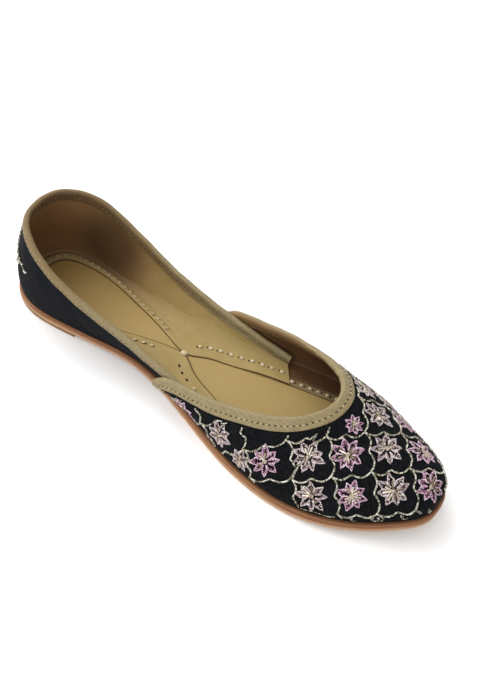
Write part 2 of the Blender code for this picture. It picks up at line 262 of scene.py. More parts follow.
# ------------------------------------------------------------------ meshes
class Heap:
    """Faces gathered into one mesh, with a strip map in metres."""

    def __init__(self):
        self.verts, self.faces, self.uvs, self.count = [], [], [], 0

    def points(self, p):
        p = np.asarray(p, float).reshape(-1, 3)
        first = self.count
        self.verts.append(p)
        self.count += len(p)
        return first

    def quads(self, idx, uv=None):
        self.faces.append(np.asarray(idx).reshape(-1, 4))
        n = len(self.faces[-1])
        self.uvs.append(np.zeros((n, 4, 2)) if uv is None else np.asarray(uv, float).reshape(n, 4, 2))

    def ngon(self, idx):
        self.faces.append([list(map(int, idx))])
        self.uvs.append(np.zeros((1, len(idx), 2)))

    def weave(self, ids, u, v, wrap=False, flip=False):
        """Quads over an index grid; u and v are the strip map's grids, one column wider if it wraps."""
        m, n = ids.shape
        last = n if wrap else n - 1
        i, j = np.meshgrid(np.arange(m - 1), np.arange(last), indexing="ij")
        k = (j + 1) % n
        q = np.stack([ids[i, j], ids[i, k], ids[i + 1, k], ids[i + 1, j]], -1)
        uv = np.stack([np.stack([u[a, b], v[a, b]], -1) for a, b in ((i, j), (i, j + 1), (i + 1, j + 1), (i + 1, j))], -2)
        if flip:
            q, uv = q[..., ::-1], uv[..., ::-1, :]
        self.quads(q.reshape(-1, 4), uv.reshape(-1, 4, 2))

    def shell(self, outer, inner):
        """Closed sheet between two grids."""
        m, n = outer.shape[:2]
        first = self.points(np.concatenate([outer.reshape(-1, 3), inner.reshape(-1, 3)]))
        o = first + np.arange(m * n).reshape(m, n)
        p = o + m * n
        u = np.concatenate([np.zeros((1, n)), np.cumsum(np.linalg.norm(np.diff(outer, axis=0), axis=2), 0)]) * MM
        u = np.repeat(u.mean(1)[:, None], n, 1)
        v = np.concatenate([np.zeros((m, 1)), np.cumsum(np.linalg.norm(np.diff(outer, axis=1), axis=2), 1)], 1) * MM
        self.weave(o, u, v)
        self.weave(p, u, v, flip=True)
        for a, b in ((o[:, 0], p[:, 0]), (p[:, -1], o[:, -1])):
            self.quads(np.stack([a[:-1], a[1:], b[1:], b[:-1]], 1))
        for a, b in ((p[0], o[0]), (o[-1], p[-1])):
            self.quads(np.stack([a[:-1], a[1:], b[1:], b[:-1]], 1))

    def sweep(self, rings, ends=True):
        """Closed rings of points, one after the other, capped at both ends."""
        m, n = rings.shape[:2]
        ids = self.points(rings) + np.arange(m * n).reshape(m, n)
        closed = np.concatenate([rings, rings[:, :1]], 1)
        u = np.r_[0, np.cumsum(np.linalg.norm(np.diff(rings, axis=0), axis=2).mean(1))] * MM
        v = np.concatenate([np.zeros((m, 1)), np.cumsum(np.linalg.norm(np.diff(closed, axis=1), axis=2), 1)], 1) * MM
        self.weave(ids, np.repeat(u[:, None], n + 1, 1), v, wrap=True)
        if ends:
            self.ngon(ids[0][::-1])
            self.ngon(ids[-1])

    def tube(self, path, normal, radius, sides, twist=0.0, ply=0.0, flat=1.0):
        """Thread along a path that lies on a surface."""
        k = len(path)
        t = unit(np.gradient(path, axis=0))
        side = unit(np.cross(t, normal))
        up = np.cross(side, t)
        s = np.r_[0, np.cumsum(np.linalg.norm(np.diff(path, axis=0), axis=1))]
        ang = 2 * np.pi * np.arange(sides) / sides
        r = np.broadcast_to(np.asarray(radius, float), (k,))[:, None] * (1 + ply * np.cos(2 * ang))[None]
        a = ang[None] + twist * s[:, None]
        rings = path[:, None] + (r * np.cos(a))[..., None] * side[:, None] + (flat * r * np.sin(a))[..., None] * up[:, None]
        ids = self.points(rings) + np.arange(k * sides).reshape(k, sides)
        u = np.repeat(s[:, None], sides + 1, 1) * MM
        v = np.repeat((np.arange(sides + 1) / sides)[None], k, 0)
        self.weave(ids, u, v, wrap=True, flip=True)
        self.ngon(ids[0])
        self.ngon(ids[-1][::-1])

    def bead(self, centre, axis, normal, length, width, height, around=8, rows=5):
        """Small rounded stitch or bead, long along its axis, sitting on a surface."""
        axis = unit(axis)
        side = unit(np.cross(normal, axis))
        up = np.cross(axis, side)
        th = np.linspace(0.12, np.pi - 0.12, rows)
        ph = 2 * np.pi * np.arange(around) / around
        ring = np.sin(th)[:, None]
        p = (centre + (length * np.cos(th))[:, None, None] * axis
             + (width * ring * np.cos(ph)[None])[..., None] * side
             + (height * ring * np.sin(ph)[None])[..., None] * up)
        ids = self.points(p) + np.arange(rows * around).reshape(rows, around)
        u = np.repeat(np.linspace(0, 2 * length * MM, rows)[:, None], around + 1, 1)
        v = np.repeat((np.arange(around + 1) / around)[None], rows, 0)
        self.weave(ids, u, v, wrap=True)
        self.ngon(ids[0][::-1])
        self.ngon(ids[-1])


def signed_volume(mesh):
    mesh.calc_loop_triangles()
    n = len(mesh.loop_triangles)
    tri = np.zeros(n * 3, np.int32)
    mesh.loop_triangles.foreach_get("vertices", tri)
    co = np.zeros(len(mesh.vertices) * 3, np.float32)
    mesh.vertices.foreach_get("co", co)
    p = co.astype(float).reshape(-1, 3)[tri.reshape(-1, 3)]
    return float(np.einsum("ij,ij->i", p[:, 0], np.cross(p[:, 1], p[:, 2])).sum() / 6)


def make(name, heap, material, replaces=(), weld=False, sharp=42, more=()):
    """One object from a heap; more holds further finishes, each with the faces that take it."""
    verts = (np.concatenate(heap.verts) - np.array([LENGTH / 2, 0, 0])) * MM
    faces, uvs = [], []
    for f, uv in zip(heap.faces, heap.uvs):
        faces.extend(f.tolist() if isinstance(f, np.ndarray) else f)
        uvs.append(uv.reshape(-1, 2))
    mesh = bpy.data.meshes.new(name)
    mesh.from_pydata(verts.tolist(), [], faces)
    strip = mesh.uv_layers.new(name="strip")
    strip.data.foreach_set("uv", np.concatenate(uvs).astype(np.float32).ravel())
    if weld:
        bm = bmesh.new()
        bm.from_mesh(mesh)
        bmesh.ops.remove_doubles(bm, verts=bm.verts, dist=2e-6)
        bmesh.ops.dissolve_degenerate(bm, edges=bm.edges, dist=1e-6)
        bm.to_mesh(mesh)
        bm.free()
    if signed_volume(mesh) < 0:
        mesh.flip_normals()
    mesh.update()
    mesh.shade_smooth()
    mesh.set_sharp_from_angle(angle=math.radians(sharp))
    mesh.materials.append(material)
    index = np.zeros(len(mesh.polygons), np.int32)
    for k, (other, faces) in enumerate(more):
        mesh.materials.append(other)
        index[np.asarray(faces)] = k + 1
    mesh.polygons.foreach_set("material_index", index)
    obj = bpy.data.objects.new(name, mesh)
    bpy.context.scene.collection.objects.link(obj)
    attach(obj, "root")
    for node in replaces:
        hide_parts(node)
    return obj


# ------------------------------------------------------------------ materials
class Finish:
    """A Principled material put together from noise, waves and ramps."""

    def __init__(self, name, colour, roughness, metallic=0.0):
        self.mat = bpy.data.materials.new(name)
        self.mat.use_nodes = True
        self.tree = self.mat.node_tree
        self.bsdf = self.tree.nodes["Principled BSDF"]
        self.put("Base Color", (*colour, 1))
        self.put("Roughness", roughness)
        self.put("Metallic", metallic)
        self.coords = self.node("ShaderNodeTexCoord").outputs["Object"]
        strip = self.node("ShaderNodeUVMap")
        strip.uv_map = "strip"
        self.strip = strip.outputs["UV"]
        self.last_bump = None

    def put(self, socket, value):
        self.bsdf.inputs[socket].default_value = value
        return self

    def node(self, kind):
        return self.tree.nodes.new(kind)

    def link(self, a, b):
        self.tree.links.new(a, b)

    def scaled(self, source, scale):
        m = self.node("ShaderNodeMapping")
        m.inputs["Scale"].default_value = scale
        self.link(source, m.inputs["Vector"])
        return m.outputs["Vector"]

    def noise(self, scale, detail=3.0, rough=0.55, source=None, stretch=None, distort=0.0):
        n = self.node("ShaderNodeTexNoise")
        n.inputs["Scale"].default_value = scale
        n.inputs["Detail"].default_value = detail
        n.inputs["Roughness"].default_value = rough
        n.inputs["Distortion"].default_value = distort
        v = self.coords if source is None else source
        if stretch is not None:
            v = self.scaled(v, stretch)
        self.link(v, n.inputs["Vector"])
        return n.outputs["Fac"]

    def cells(self, scale, source=None, stretch=None, feature="F1"):
        n = self.node("ShaderNodeTexVoronoi")
        n.feature = feature
        n.inputs["Scale"].default_value = scale
        v = self.coords if source is None else source
        if stretch is not None:
            v = self.scaled(v, stretch)
        self.link(v, n.inputs["Vector"])
        return n.outputs["Distance"]

    def wave(self, scale, direction="X", source=None, stretch=None, distort=0.0, profile="SIN", detail=1.0):
        n = self.node("ShaderNodeTexWave")
        n.bands_direction = direction
        n.wave_profile = profile
        n.inputs["Scale"].default_value = scale
        n.inputs["Distortion"].default_value = distort
        n.inputs["Detail"].default_value = detail
        v = self.coords if source is None else source
        if stretch is not None:
            v = self.scaled(v, stretch)
        self.link(v, n.inputs["Vector"])
        return n.outputs["Fac"]

    def ramp(self, fac, stops):
        r = self.node("ShaderNodeValToRGB")
        e = r.color_ramp.elements
        while len(e) < len(stops):
            e.new(0.5)
        for slot, (pos, col) in zip(e, stops):
            slot.position = pos
            slot.color = (*col, 1) if len(col) == 3 else col
        self.link(fac, r.inputs["Fac"])
        return r.outputs["Color"]

    def blend(self, fac, a, b, how="MIX"):
        m = self.node("ShaderNodeMix")
        m.data_type = "RGBA"
        m.blend_type = how
        if hasattr(fac, "node"):
            self.link(fac, m.inputs["Factor"])
        else:
            m.inputs["Factor"].default_value = fac
        for value, key in ((a, 6), (b, 7)):
            if hasattr(value, "node"):
                self.link(value, m.inputs[key])
            else:
                m.inputs[key].default_value = (*value, 1)
        return m.outputs[2]

    def math(self, op, a, b=0.0):
        m = self.node("ShaderNodeMath")
        m.operation = op
        for value, key in ((a, 0), (b, 1)):
            if hasattr(value, "node"):
                self.link(value, m.inputs[key])
            else:
                m.inputs[key].default_value = value
        return m.outputs[0]

    def axis(self, source, which):
        s = self.node("ShaderNodeSeparateXYZ")
        self.link(source, s.inputs[0])
        return s.outputs[which]

    def around(self, point, inside, outside):
        """One near a point of the object, falling to nothing at the outside distance."""
        d = self.node("ShaderNodeVectorMath")
        d.operation = "DISTANCE"
        d.inputs[1].default_value = point
        self.link(self.coords, d.inputs[0])
        m = self.node("ShaderNodeMapRange")
        m.interpolation_type = "SMOOTHSTEP"
        for key, value in (("From Min", inside), ("From Max", outside), ("To Min", 1.0), ("To Max", 0.0)):
            m.inputs[key].default_value = value
        self.link(d.outputs["Value"], m.inputs["Value"])
        return m.outputs["Result"]

    def colour(self, socket):
        self.link(socket, self.bsdf.inputs["Base Color"])
        return self

    def rough(self, fac, lo, hi):
        m = self.node("ShaderNodeMapRange")
        m.inputs["To Min"].default_value = lo
        m.inputs["To Max"].default_value = hi
        self.link(fac, m.inputs["Value"])
        self.link(m.outputs["Result"], self.bsdf.inputs["Roughness"])
        return self

    def bump(self, height, strength, distance):
        b = self.node("ShaderNodeBump")
        b.inputs["Strength"].default_value = strength
        b.inputs["Distance"].default_value = distance
        self.link(height, b.inputs["Height"])
        if self.last_bump is not None:
            self.link(self.last_bump, b.inputs["Normal"])
        self.last_bump = b.outputs["Normal"]
        self.link(self.last_bump, self.bsdf.inputs["Normal"])
        return self


def fabric_finish():
    """Plain-woven black cloth with a few paler slubs."""
    f = Finish("black_fabric", (0.012, 0.014, 0.018), 0.9)
    tone = f.noise(55, 3)
    fleck = f.noise(1500, 2, 0.6)
    base = f.ramp(tone, [(0.3, (0.0022, 0.0025, 0.0030)), (0.7, (0.0052, 0.0057, 0.0066))])
    f.colour(f.blend(f.ramp(fleck, [(0.50, (0, 0, 0)), (0.70, (0.8, 0.8, 0.8))]), base, (0.020, 0.021, 0.023)))
    f.rough(tone, 0.82, 0.95)
    f.put("Specular IOR Level", 0.06)
    warp = f.wave(560, "X", distort=1.2)
    weft = f.wave(560, "Y", distort=1.2)
    f.bump(f.math("MAXIMUM", warp, weft), 0.4, 0.00025)
    f.bump(f.noise(420, 3), 0.3, 0.0004)
    return f.mat


def quarter_finish():
    """The smoother black stuff of the back half."""
    f = Finish("black_quarter", (0.012, 0.014, 0.019), 0.85)
    tone = f.noise(38, 3)
    fleck = f.noise(1900, 2, 0.6)
    base = f.ramp(tone, [(0.3, (0.0032, 0.0038, 0.0052)), (0.7, (0.0060, 0.0069, 0.0090))])
    f.colour(f.blend(f.ramp(fleck, [(0.58, (0, 0, 0)), (0.78, (0.4, 0.4, 0.4))]), base, (0.015, 0.017, 0.020)))
    f.rough(tone, 0.75, 0.9)
    f.put("Specular IOR Level", 0.06)
    f.bump(f.noise(1300, 2), 0.3, 0.0002)
    f.bump(f.noise(160, 3), 0.25, 0.0005)
    return f.mat


def leather_finish(name, dark, mid, light, rough, grain=1.0, streak=None):
    f = Finish(name, mid, rough)
    cloud = f.noise(26, 4, 0.6)
    fine = f.noise(420, 3, 0.6)
    base = f.ramp(cloud, [(0.28, dark), (0.5, mid), (0.74, light)])
    base = f.blend(f.ramp(fine, [(0.35, (0.0, 0.0, 0.0)), (0.75, (0.28, 0.28, 0.28))]), base, dark)
    if streak is not None:
        lines = f.noise(60, 3, 0.6, stretch=streak)
        base = f.blend(f.ramp(lines, [(0.45, (0, 0, 0)), (0.7, (0.35, 0.35, 0.35))]), base, light)
    f.colour(base)
    f.rough(fine, rough - 0.08, rough + 0.1)
    f.put("Specular IOR Level", 0.4)
    f.bump(f.cells(900, feature="F1"), 0.16 * grain, 0.00022)
    f.bump(f.noise(190, 4, 0.6), 0.22 * grain, 0.0005)
    f.bump(f.noise(1600, 2), 0.12 * grain, 0.00012)
    return f.mat


def lining_finish(name, heel, mid, waist, start=-0.112, stop=-0.045, pebble=0.0, painted_shading=None):
    """Leather lining: a colour ramp along x, with random tone; where it darkens into the heel cup or the toe pocket it
    is painted shade, where it lifts the insole's heel it is painted light; dark spots round given points are painted
    shade; binding is more pebbled.
    """
    f = Finish(name, mid, 0.55)
    x = f.axis(f.coords, 0)
    along = f.node("ShaderNodeMapRange")
    along.inputs["From Min"].default_value = start
    along.inputs["From Max"].default_value = stop
    f.link(x, along.inputs["Value"])
    wobble = f.math("ADD", along.outputs["Result"], f.math("MULTIPLY", f.math("SUBTRACT", f.noise(30, 4, 0.6), 0.5), 0.4))
    base = f.ramp(wobble, [(0.0, heel), (0.5, mid), (1.0, waist)])
    fine = f.noise(380, 3, 0.6)
    base = f.blend(f.ramp(fine, [(0.4, (0, 0, 0)), (0.8, (0.25, 0.25, 0.25))]), base, heel)
    if pebble > 0:
        grain = f.noise(900, 3, 0.7)
        base = f.blend(f.ramp(grain, [(0.36, (0.55 * pebble,) * 3), (0.56, (0, 0, 0))]), base, [0.45 * c for c in heel])
        base = f.blend(f.ramp(grain, [(0.56, (0, 0, 0)), (0.74, (0.5 * pebble,) * 3)]), base, [1.45 * c for c in waist])
        f.bump(grain, 0.5 * pebble, 0.0005)
    # dark spots round given points: painted shade in the heel cup
    for point, inside, outside, share in painted_shading or ():
        base = f.blend(f.math("MULTIPLY", f.around(point, inside, outside), share), base, [0.35 * c for c in heel])
    f.colour(base)
    f.rough(fine, 0.5, 0.68)
    f.put("Specular IOR Level", 0.3)
    f.bump(f.cells(850), 0.15, 0.0002)
    f.bump(f.noise(150, 4, 0.6), 0.25, 0.0006)
    return f.mat


def sole_edge_finish():
    """Stacked leather seen on its cut edge: fine lines along the edge, darker near the top with painted shade under the
    upper and under the top corner, paler below as a painted reflection of the floor.
    """
    f = Finish("sole_edge", (0.30, 0.165, 0.08), 0.65)
    v = f.axis(f.strip, 1)
    layers = f.noise(1.0, 4, 0.7, source=f.strip, stretch=(26, 2600, 1))
    broad = f.noise(1.0, 3, 0.6, source=f.strip, stretch=(11, 700, 1))
    cloud = f.noise(70, 3)
    base = f.ramp(layers, [(0.30, (0.094, 0.033, 0.012)), (0.48, (0.243, 0.101, 0.038)), (0.68, (0.440, 0.216, 0.095))])
    base = f.blend(f.ramp(broad, [(0.42, (0, 0, 0)), (0.66, (0.45, 0.45, 0.45))]), base, (0.365, 0.170, 0.071))
    base = f.blend(f.ramp(cloud, [(0.4, (0, 0, 0)), (0.75, (0.35, 0.35, 0.35))]), base, (0.280, 0.115, 0.045))
    high = f.node("ShaderNodeMapRange")
    high.inputs["From Min"].default_value = 0.0
    high.inputs["From Max"].default_value = 0.005
    f.link(v, high.inputs["Value"])
    # dark line painted under the top corner as the shade of a groove; the corner itself keeps the base colour; the
    # ledge beside the upper dark, painted shadow
    painted_shade_lines = [(0.70, 0.0), (0.78, 0.72), (0.85, 0.72), (0.90, 0.05), (0.965, 0.05), (0.99, 0.70)]
    base = f.blend(f.ramp(high.outputs["Result"], [(at, (b, b, b)) for at, b in painted_shade_lines]), base, (0.118, 0.051, 0.022))
    # paler towards the bottom: painted reflection of the white floor
    painted_shading = f.node("ShaderNodeMapRange")
    painted_shading.inputs["From Min"].default_value = 0.0030
    painted_shading.inputs["From Max"].default_value = 0.0013
    f.link(v, painted_shading.inputs["Value"])
    base = f.blend(f.math("MULTIPLY", painted_shading.outputs["Result"], 0.78), base, (0.54, 0.350, 0.212))
    f.colour(base)
    f.rough(cloud, 0.55, 0.75)
    f.put("Specular IOR Level", 0.3)
    f.bump(layers, 0.5, 0.0004)
    f.bump(f.noise(900, 2), 0.15, 0.0002)
    return f.mat


def thread_finish(name, deep, mid, pale, rough=0.5, patch=430, soft=0.19):
    """Floss: tones change from strand to strand, with fine lines along the thread."""
    f = Finish(name, mid, rough)
    spot = f.noise(patch, 2, 0.6)
    strand = f.noise(1.0, 2, 0.5, source=f.strip, stretch=(350, 9, 1))
    base = f.ramp(spot, [(0.5 - soft, deep), (0.5, mid), (0.5 + soft, pale)])
    f.colour(f.blend(f.ramp(strand, [(0.35, (0.35, 0.35, 0.35)), (0.65, (0, 0, 0))]), base, deep))
    f.rough(strand, rough - 0.1, rough + 0.15)
    f.put("Sheen Weight", 0.25).put("Sheen Roughness", 0.35)
    f.bump(f.wave(6.0, "Y", source=f.strip, stretch=(900, 1, 1), distort=0.5), 0.4, 0.0002)
    return f.mat


def metal_finish(name, deep, mid, pale, rough, patch, soft=0.16, turns=None):
    """Metal thread: random patches from dark to pale, the pale ones painted glints on the cord, partly the metal's own
    uneven tone; dark lines between the turns of the wire.
    """
    f = Finish(name, mid, rough, metallic=0.45)
    spot = f.noise(patch, 2, 0.6)
    base = f.ramp(spot, [(0.5 - soft, deep), (0.5, mid), (0.5 + soft, pale)])
    if turns is not None:
        coil = f.wave(1.0, "DIAGONAL", source=f.strip, stretch=(turns, 1.4, 1), distort=0.8)
        base = f.blend(f.ramp(coil, [(0.10, (0.6, 0.6, 0.6)), (0.5, (0, 0, 0))]), base, deep)
        f.bump(coil, 0.6, 0.0004)
    f.colour(base)
    f.rough(spot, rough + 0.12, rough - 0.08)
    return f.mat


FABRIC = fabric_finish()
QUARTER_FABRIC = quarter_finish()
# paler at the heel's back end: painted light lifting the shadow of the heel wall
INSOLE_LEATHER = lining_finish("insole_leather", (0.415, 0.262, 0.086), (0.345, 0.230, 0.076), (0.362, 0.256, 0.093), start=-0.118, stop=-0.03)
# darker towards the heel: painted shade
BINDING = lining_finish("binding_leather", (0.180, 0.120, 0.052), (0.226, 0.160, 0.069), (0.265, 0.210, 0.105), pebble=0.5)
# inner faces of the topline binding: a darker copy of the binding, darkest at the heel, painted shade
BINDING_IN = lining_finish("binding_inside", (0.130, 0.074, 0.032), (0.165, 0.112, 0.046), (0.270, 0.224, 0.118), start=-0.118, stop=-0.005, pebble=0.3)
# inner faces of the throat binding: lining-coloured, darkening towards the toe pocket as painted shade
THROAT_IN = lining_finish("throat_inside", (0.215, 0.130, 0.054), (0.160, 0.093, 0.038), (0.105, 0.057, 0.023), start=-0.005, stop=0.05, pebble=0.2)
# darker and redder into the heel, with two dark spots in the heel cup: painted shade
LINING = lining_finish("lining_leather", (0.245, 0.130, 0.057), (0.270, 0.172, 0.068), (0.342, 0.248, 0.090), stop=-0.03,
                       painted_shading=[((-0.088, 0.022, 0.024), 0.008, 0.030, 0.92), ((-0.088, -0.022, 0.024), 0.006, 0.026, 0.40)])
FLANGE_LEATHER = lining_finish("flange_leather", (0.330, 0.232, 0.094), (0.320, 0.226, 0.086), (0.342, 0.248, 0.090), stop=-0.05)
# dark cut edges, also used for painted shadow lines along the flanges' edges and painted shade in their groove
CUT_EDGE_AND_SHADOW = leather_finish("cut_edge_and_painted_shadow", (0.075, 0.039, 0.011), (0.118, 0.065, 0.019), (0.172, 0.100, 0.033), 0.75, 1.0)
# darker towards the toe: painted shade in the toe pocket
VAMP_LINING = lining_finish("vamp_lining", (0.150, 0.078, 0.030), (0.095, 0.044, 0.017), (0.055, 0.025, 0.010), start=0.0, stop=0.07)
VAMP_FLANGE_LEATHER = leather_finish("vamp_flange_leather", (0.130, 0.080, 0.030), (0.215, 0.145, 0.060), (0.285, 0.200, 0.088), 0.65, 1.0)
SOLE_EDGE_LEATHER = sole_edge_finish()
TREAD = leather_finish("tread_leather", (0.19, 0.10, 0.046), (0.29, 0.165, 0.078), (0.37, 0.23, 0.11), 0.7, 1.4, streak=(0.25, 2.2, 1))
LIFT_LEATHER = leather_finish("lift_leather", (0.15, 0.078, 0.035), (0.235, 0.13, 0.06), (0.31, 0.185, 0.085), 0.65, 1.3)
CREAM = thread_finish("cream_thread", (0.42, 0.33, 0.17), (0.63, 0.53, 0.33), (0.78, 0.70, 0.51))
RAND_THREAD = thread_finish("rand_thread", (0.30, 0.225, 0.110), (0.50, 0.40, 0.220), (0.66, 0.56, 0.36))
KHAKI_THREAD = thread_finish("khaki_thread", (0.16, 0.122, 0.05), (0.25, 0.20, 0.092), (0.36, 0.30, 0.155))
STRAW_THREAD = thread_finish("straw_thread", (0.27, 0.210, 0.085), (0.46, 0.38, 0.185), (0.62, 0.54, 0.31))
# darker threads for the bindings' inner stitch rows: painted shade on the inside faces
OLIVE_THREAD = thread_finish("olive_thread", (0.085, 0.060, 0.026), (0.155, 0.115, 0.052), (0.24, 0.19, 0.095))
UMBER_THREAD = thread_finish("umber_thread", (0.075, 0.046, 0.019), (0.13, 0.085, 0.036), (0.20, 0.14, 0.065))
DARK_HOLE = leather_finish("stitch_hole", (0.030, 0.016, 0.005), (0.052, 0.029, 0.010), (0.080, 0.048, 0.018), 0.85, 0.6)
PINK = thread_finish("pink_floss", (0.33, 0.135, 0.235), (0.65, 0.44, 0.555), (0.94, 0.86, 0.875), patch=1100, soft=0.12)
PINK_IN = thread_finish("pink_inner_floss", (0.105, 0.020, 0.056), (0.37, 0.130, 0.250), (0.68, 0.42, 0.55), patch=1100, soft=0.12)
PALE = thread_finish("pale_floss", (0.29, 0.195, 0.205), (0.62, 0.51, 0.51), (0.94, 0.895, 0.86), patch=1100, soft=0.12)
PALE_IN = thread_finish("pale_inner_floss", (0.090, 0.048, 0.053), (0.36, 0.240, 0.262), (0.68, 0.55, 0.55), patch=1100, soft=0.12)
# pale patches up to near white: painted glints
ZARI = metal_finish("zari_cord", (0.105, 0.088, 0.046), (0.66, 0.615, 0.44), (1.0, 0.98, 0.90), 0.30, 900, 0.07, turns=640)
BUGLE = metal_finish("bugle_bead", (0.34, 0.255, 0.165), (0.60, 0.515, 0.385), (0.88, 0.82, 0.70), 0.30, 420)
BUGLE_DULL = metal_finish("bugle_bead_dull", (0.085, 0.055, 0.034), (0.24, 0.175, 0.110), (0.46, 0.37, 0.26), 0.42, 420)
HEART = thread_finish("heart_thread", (0.21, 0.150, 0.105), (0.52, 0.43, 0.325), (0.82, 0.74, 0.61), patch=1100, soft=0.12)


# ------------------------------------------------------------------ sole
def loop_arcs(n):
    """Half of the outline, closer together at the heel and the toe."""
    t = np.linspace(0, 1, n)
    return HALF * (t - 0.07 * np.sin(2 * np.pi * t))


def sole_piece(heap, arcs, profile, top, low, across=7, ripple=0.0, inset=0.0):
    """Piece of the sole: a profile of (inset, height share) carried round the edge, faces filled across."""
    full = np.r_[-arcs[::-1], arcs[1:-1]]          # the toe's own point comes once, at the start
    x, y, nx, ny = edge(full)
    add = np.interp(np.abs(full), arcs, np.broadcast_to(inset, arcs.shape)) if np.ndim(inset) else inset
    rings = []
    for ins, share in profile:
        wob = ripple * (np.sin(full * 0.31 + 9 * share) + 0.6 * np.sin(full * 0.83 + 17 * share + 1.3)) * (1 if 0 < share < 1 else 0)
        d = ins + add + wob
        px, py = x - d * nx, np.where(np.abs(y) < 1e-6, 0.0, y - d * ny)
        rings.append(np.stack([px, py, low(px) + share * (top(px) - low(px))], 1))
    rings = np.stack(rings, 1)                     # stations by profile
    m, n = rings.shape[:2]
    ids = heap.points(rings) + np.arange(m * n).reshape(m, n)
    ids = np.concatenate([ids, ids[:1]], 0)
    u = np.r_[full + HALF, 2 * HALF][:, None] * np.ones((1, n)) * MM
    v = np.ones((m + 1, 1)) * np.array([share for _, share in profile])[None] * 5.0 * MM
    heap.weave(ids, u, v)
    # faces, strips from the right half to the left
    for k, face, turn in ((0, top, 1), (n - 1, low, -1)):
        left = rings[len(arcs) - 1:, k]
        left = np.concatenate([left, rings[:1, k]], 0)
        right = left * np.array([1, -1, 1])
        t = np.linspace(0, 1, across)[None, :, None]
        grid = right[:, None] * (1 - t) + left[:, None] * t
        fid = heap.points(grid) + np.arange(grid.shape[0] * across).reshape(-1, across)
        heap.weave(fid, grid[..., 0] * MM, grid[..., 1] * MM, flip=turn < 0)


def build_sole():
    h = Heap()
    arcs = loop_arcs(150)
    profile = [(5.0, 1.0), (1.1, 1.0), (0.55, 0.985), (0.16, 0.94), (0.02, 0.88), (-0.05, 0.80), (0.0, 0.70),
               (0.10, 0.655), (0.34, 0.625), (0.10, 0.595), (-0.02, 0.55), (-0.08, 0.46), (-0.04, 0.38), (0.10, 0.345),
               (0.22, 0.33), (0.08, 0.31), (-0.03, 0.26), (-0.03, 0.16), (0.08, 0.08), (0.38, 0.022), (0.9, 0.0), (5.0, 0.0)]
    sole_piece(h, arcs, profile, seat, under, ripple=0.05)
    sole = make("outsole_leather", h, SOLE_EDGE_LEATHER, ["outsole"], weld=True, sharp=30)
    sole.data.materials.append(TREAD)
    idx = np.zeros(len(sole.data.polygons), np.int32)
    nz = np.zeros(len(sole.data.polygons) * 3, np.float32)
    sole.data.polygons.foreach_get("normal", nz)
    idx[nz.reshape(-1, 3)[:, 2] < -0.8] = 1
    sole.data.polygons.foreach_set("material_index", idx)

    # heel lift: two thin leather layers, cut straight at the front
    h = Heap()
    end = float(np.interp(LIFT_LENGTH - 0.4, _half[:600, 0], _arc[:600]))
    a = np.linspace(-end, end, 121)
    x, y, nx, ny = edge(a)
    front = np.linspace(y[-1], y[0], 31)[1:-1]
    px, py = np.r_[x, np.full(len(front), x[-1])], np.r_[y, front]
    qx, qy = np.r_[nx, np.ones(len(front))], np.r_[ny, np.zeros(len(front))]
    qx[120] = qx[0] = 0.7
    qy[120], qy[0] = 0.7 * np.sign(y[120]), 0.7 * np.sign(y[0])
    rings = []
    for ins, z in [(1.2, 2.0), (0.7, 1.99), (0.48, 1.86), (0.42, 1.6), (0.42, 1.2), (0.6, 1.04), (0.42, 0.9), (0.42, 0.42),
                   (0.5, 0.14), (0.75, 0.02), (1.3, 0.0)]:
        w = 0.04 * np.sin(np.arange(len(px)) * 0.9 + z * 4)
        rings.append(np.stack([px - (ins + w) * qx, py - (ins + w) * qy, np.full(len(px), z)], 1))
    rings = np.stack(rings, 1)
    m, n = rings.shape[:2]
    ids = h.points(rings) + np.arange(m * n).reshape(m, n)
    closed = np.concatenate([ids, ids[:1]], 0)
    u = np.arange(m + 1)[:, None] * np.ones((1, n)) * 1.5 * MM
    v = np.ones((m + 1, 1)) * np.linspace(0, 2.0, n)[None] * MM
    h.weave(closed, u, v)
    h.ngon(ids[:, 0][::-1])
    h.ngon(ids[:, -1])
    make("heel_lift_leather", h, LIFT_LEATHER, ["heel_lift"], sharp=30)


def build_insole():
    h = Heap()
    arcs = loop_arcs(110)
    inset = steady([r.foot for r in INSOLE_EDGE], [r.inset for r in INSOLE_EDGE])(arcs)
    profile = [(6.0, 1.0), (0.8, 1.0), (0.25, 0.9), (0.05, 0.6), (0.05, 0.3), (0.3, 0.0), (6.0, 0.0)]
    sole_piece(h, arcs, profile, lambda q: seat(q) + GAP + INSOLE, lambda q: seat(q) + GAP, across=15, inset=inset)
    make("insole_sock", h, INSOLE_LEATHER, ["insole"], weld=True, sharp=30)


# ------------------------------------------------------------------ upper
def build_walls():
    ups = np.linspace(0, 1, 44)[None]
    f = np.linspace(-vamp.span, vamp.span, 260)[:, None]
    h = Heap()
    h.shell(vamp.at(f, ups, 0.0), vamp.at(f, ups, -0.95))
    make("vamp_fabric", h, FABRIC, ["upper"], sharp=50)
    h = Heap()
    h.shell(vamp.at(f, ups, -1.05), vamp.at(f, ups, -WALL))
    make("vamp_lining", h, VAMP_LINING, sharp=50)
    f = np.linspace(-quarter.span, quarter.span, 260)[:, None]
    h = Heap()
    h.shell(quarter.at(f, ups, 0.0), quarter.at(f, ups, -0.95))
    make("quarter_fabric", h, QUARTER_FABRIC, ["upper"], sharp=50)
    h = Heap()
    h.shell(quarter.at(f, ups, -1.05), quarter.at(f, ups, -WALL))
    make("quarter_lining", h, LINING, sharp=50)


class Rim:
    """Distances down from a rim, on the outer and the inner face."""

    def __init__(self, skin, foots):
        self.skin, self.foots = skin, foots
        self.ups = np.linspace(1, 0.2, 120)
        p = skin.at(foots[:, None], self.ups[None])
        self.down = np.concatenate([np.zeros((len(foots), 1)), np.cumsum(np.linalg.norm(np.diff(p, axis=1), axis=2), 1)], 1)

    def up(self, s):
        s = np.broadcast_to(np.asarray(s, float), (len(self.foots),))
        return np.array([np.interp(a, row, self.ups) for a, row in zip(s, self.down)])

    def point(self, s, off):
        u = self.up(s)
        return self.skin.at(self.foots, u, off), self.skin.normal(self.foots, u)


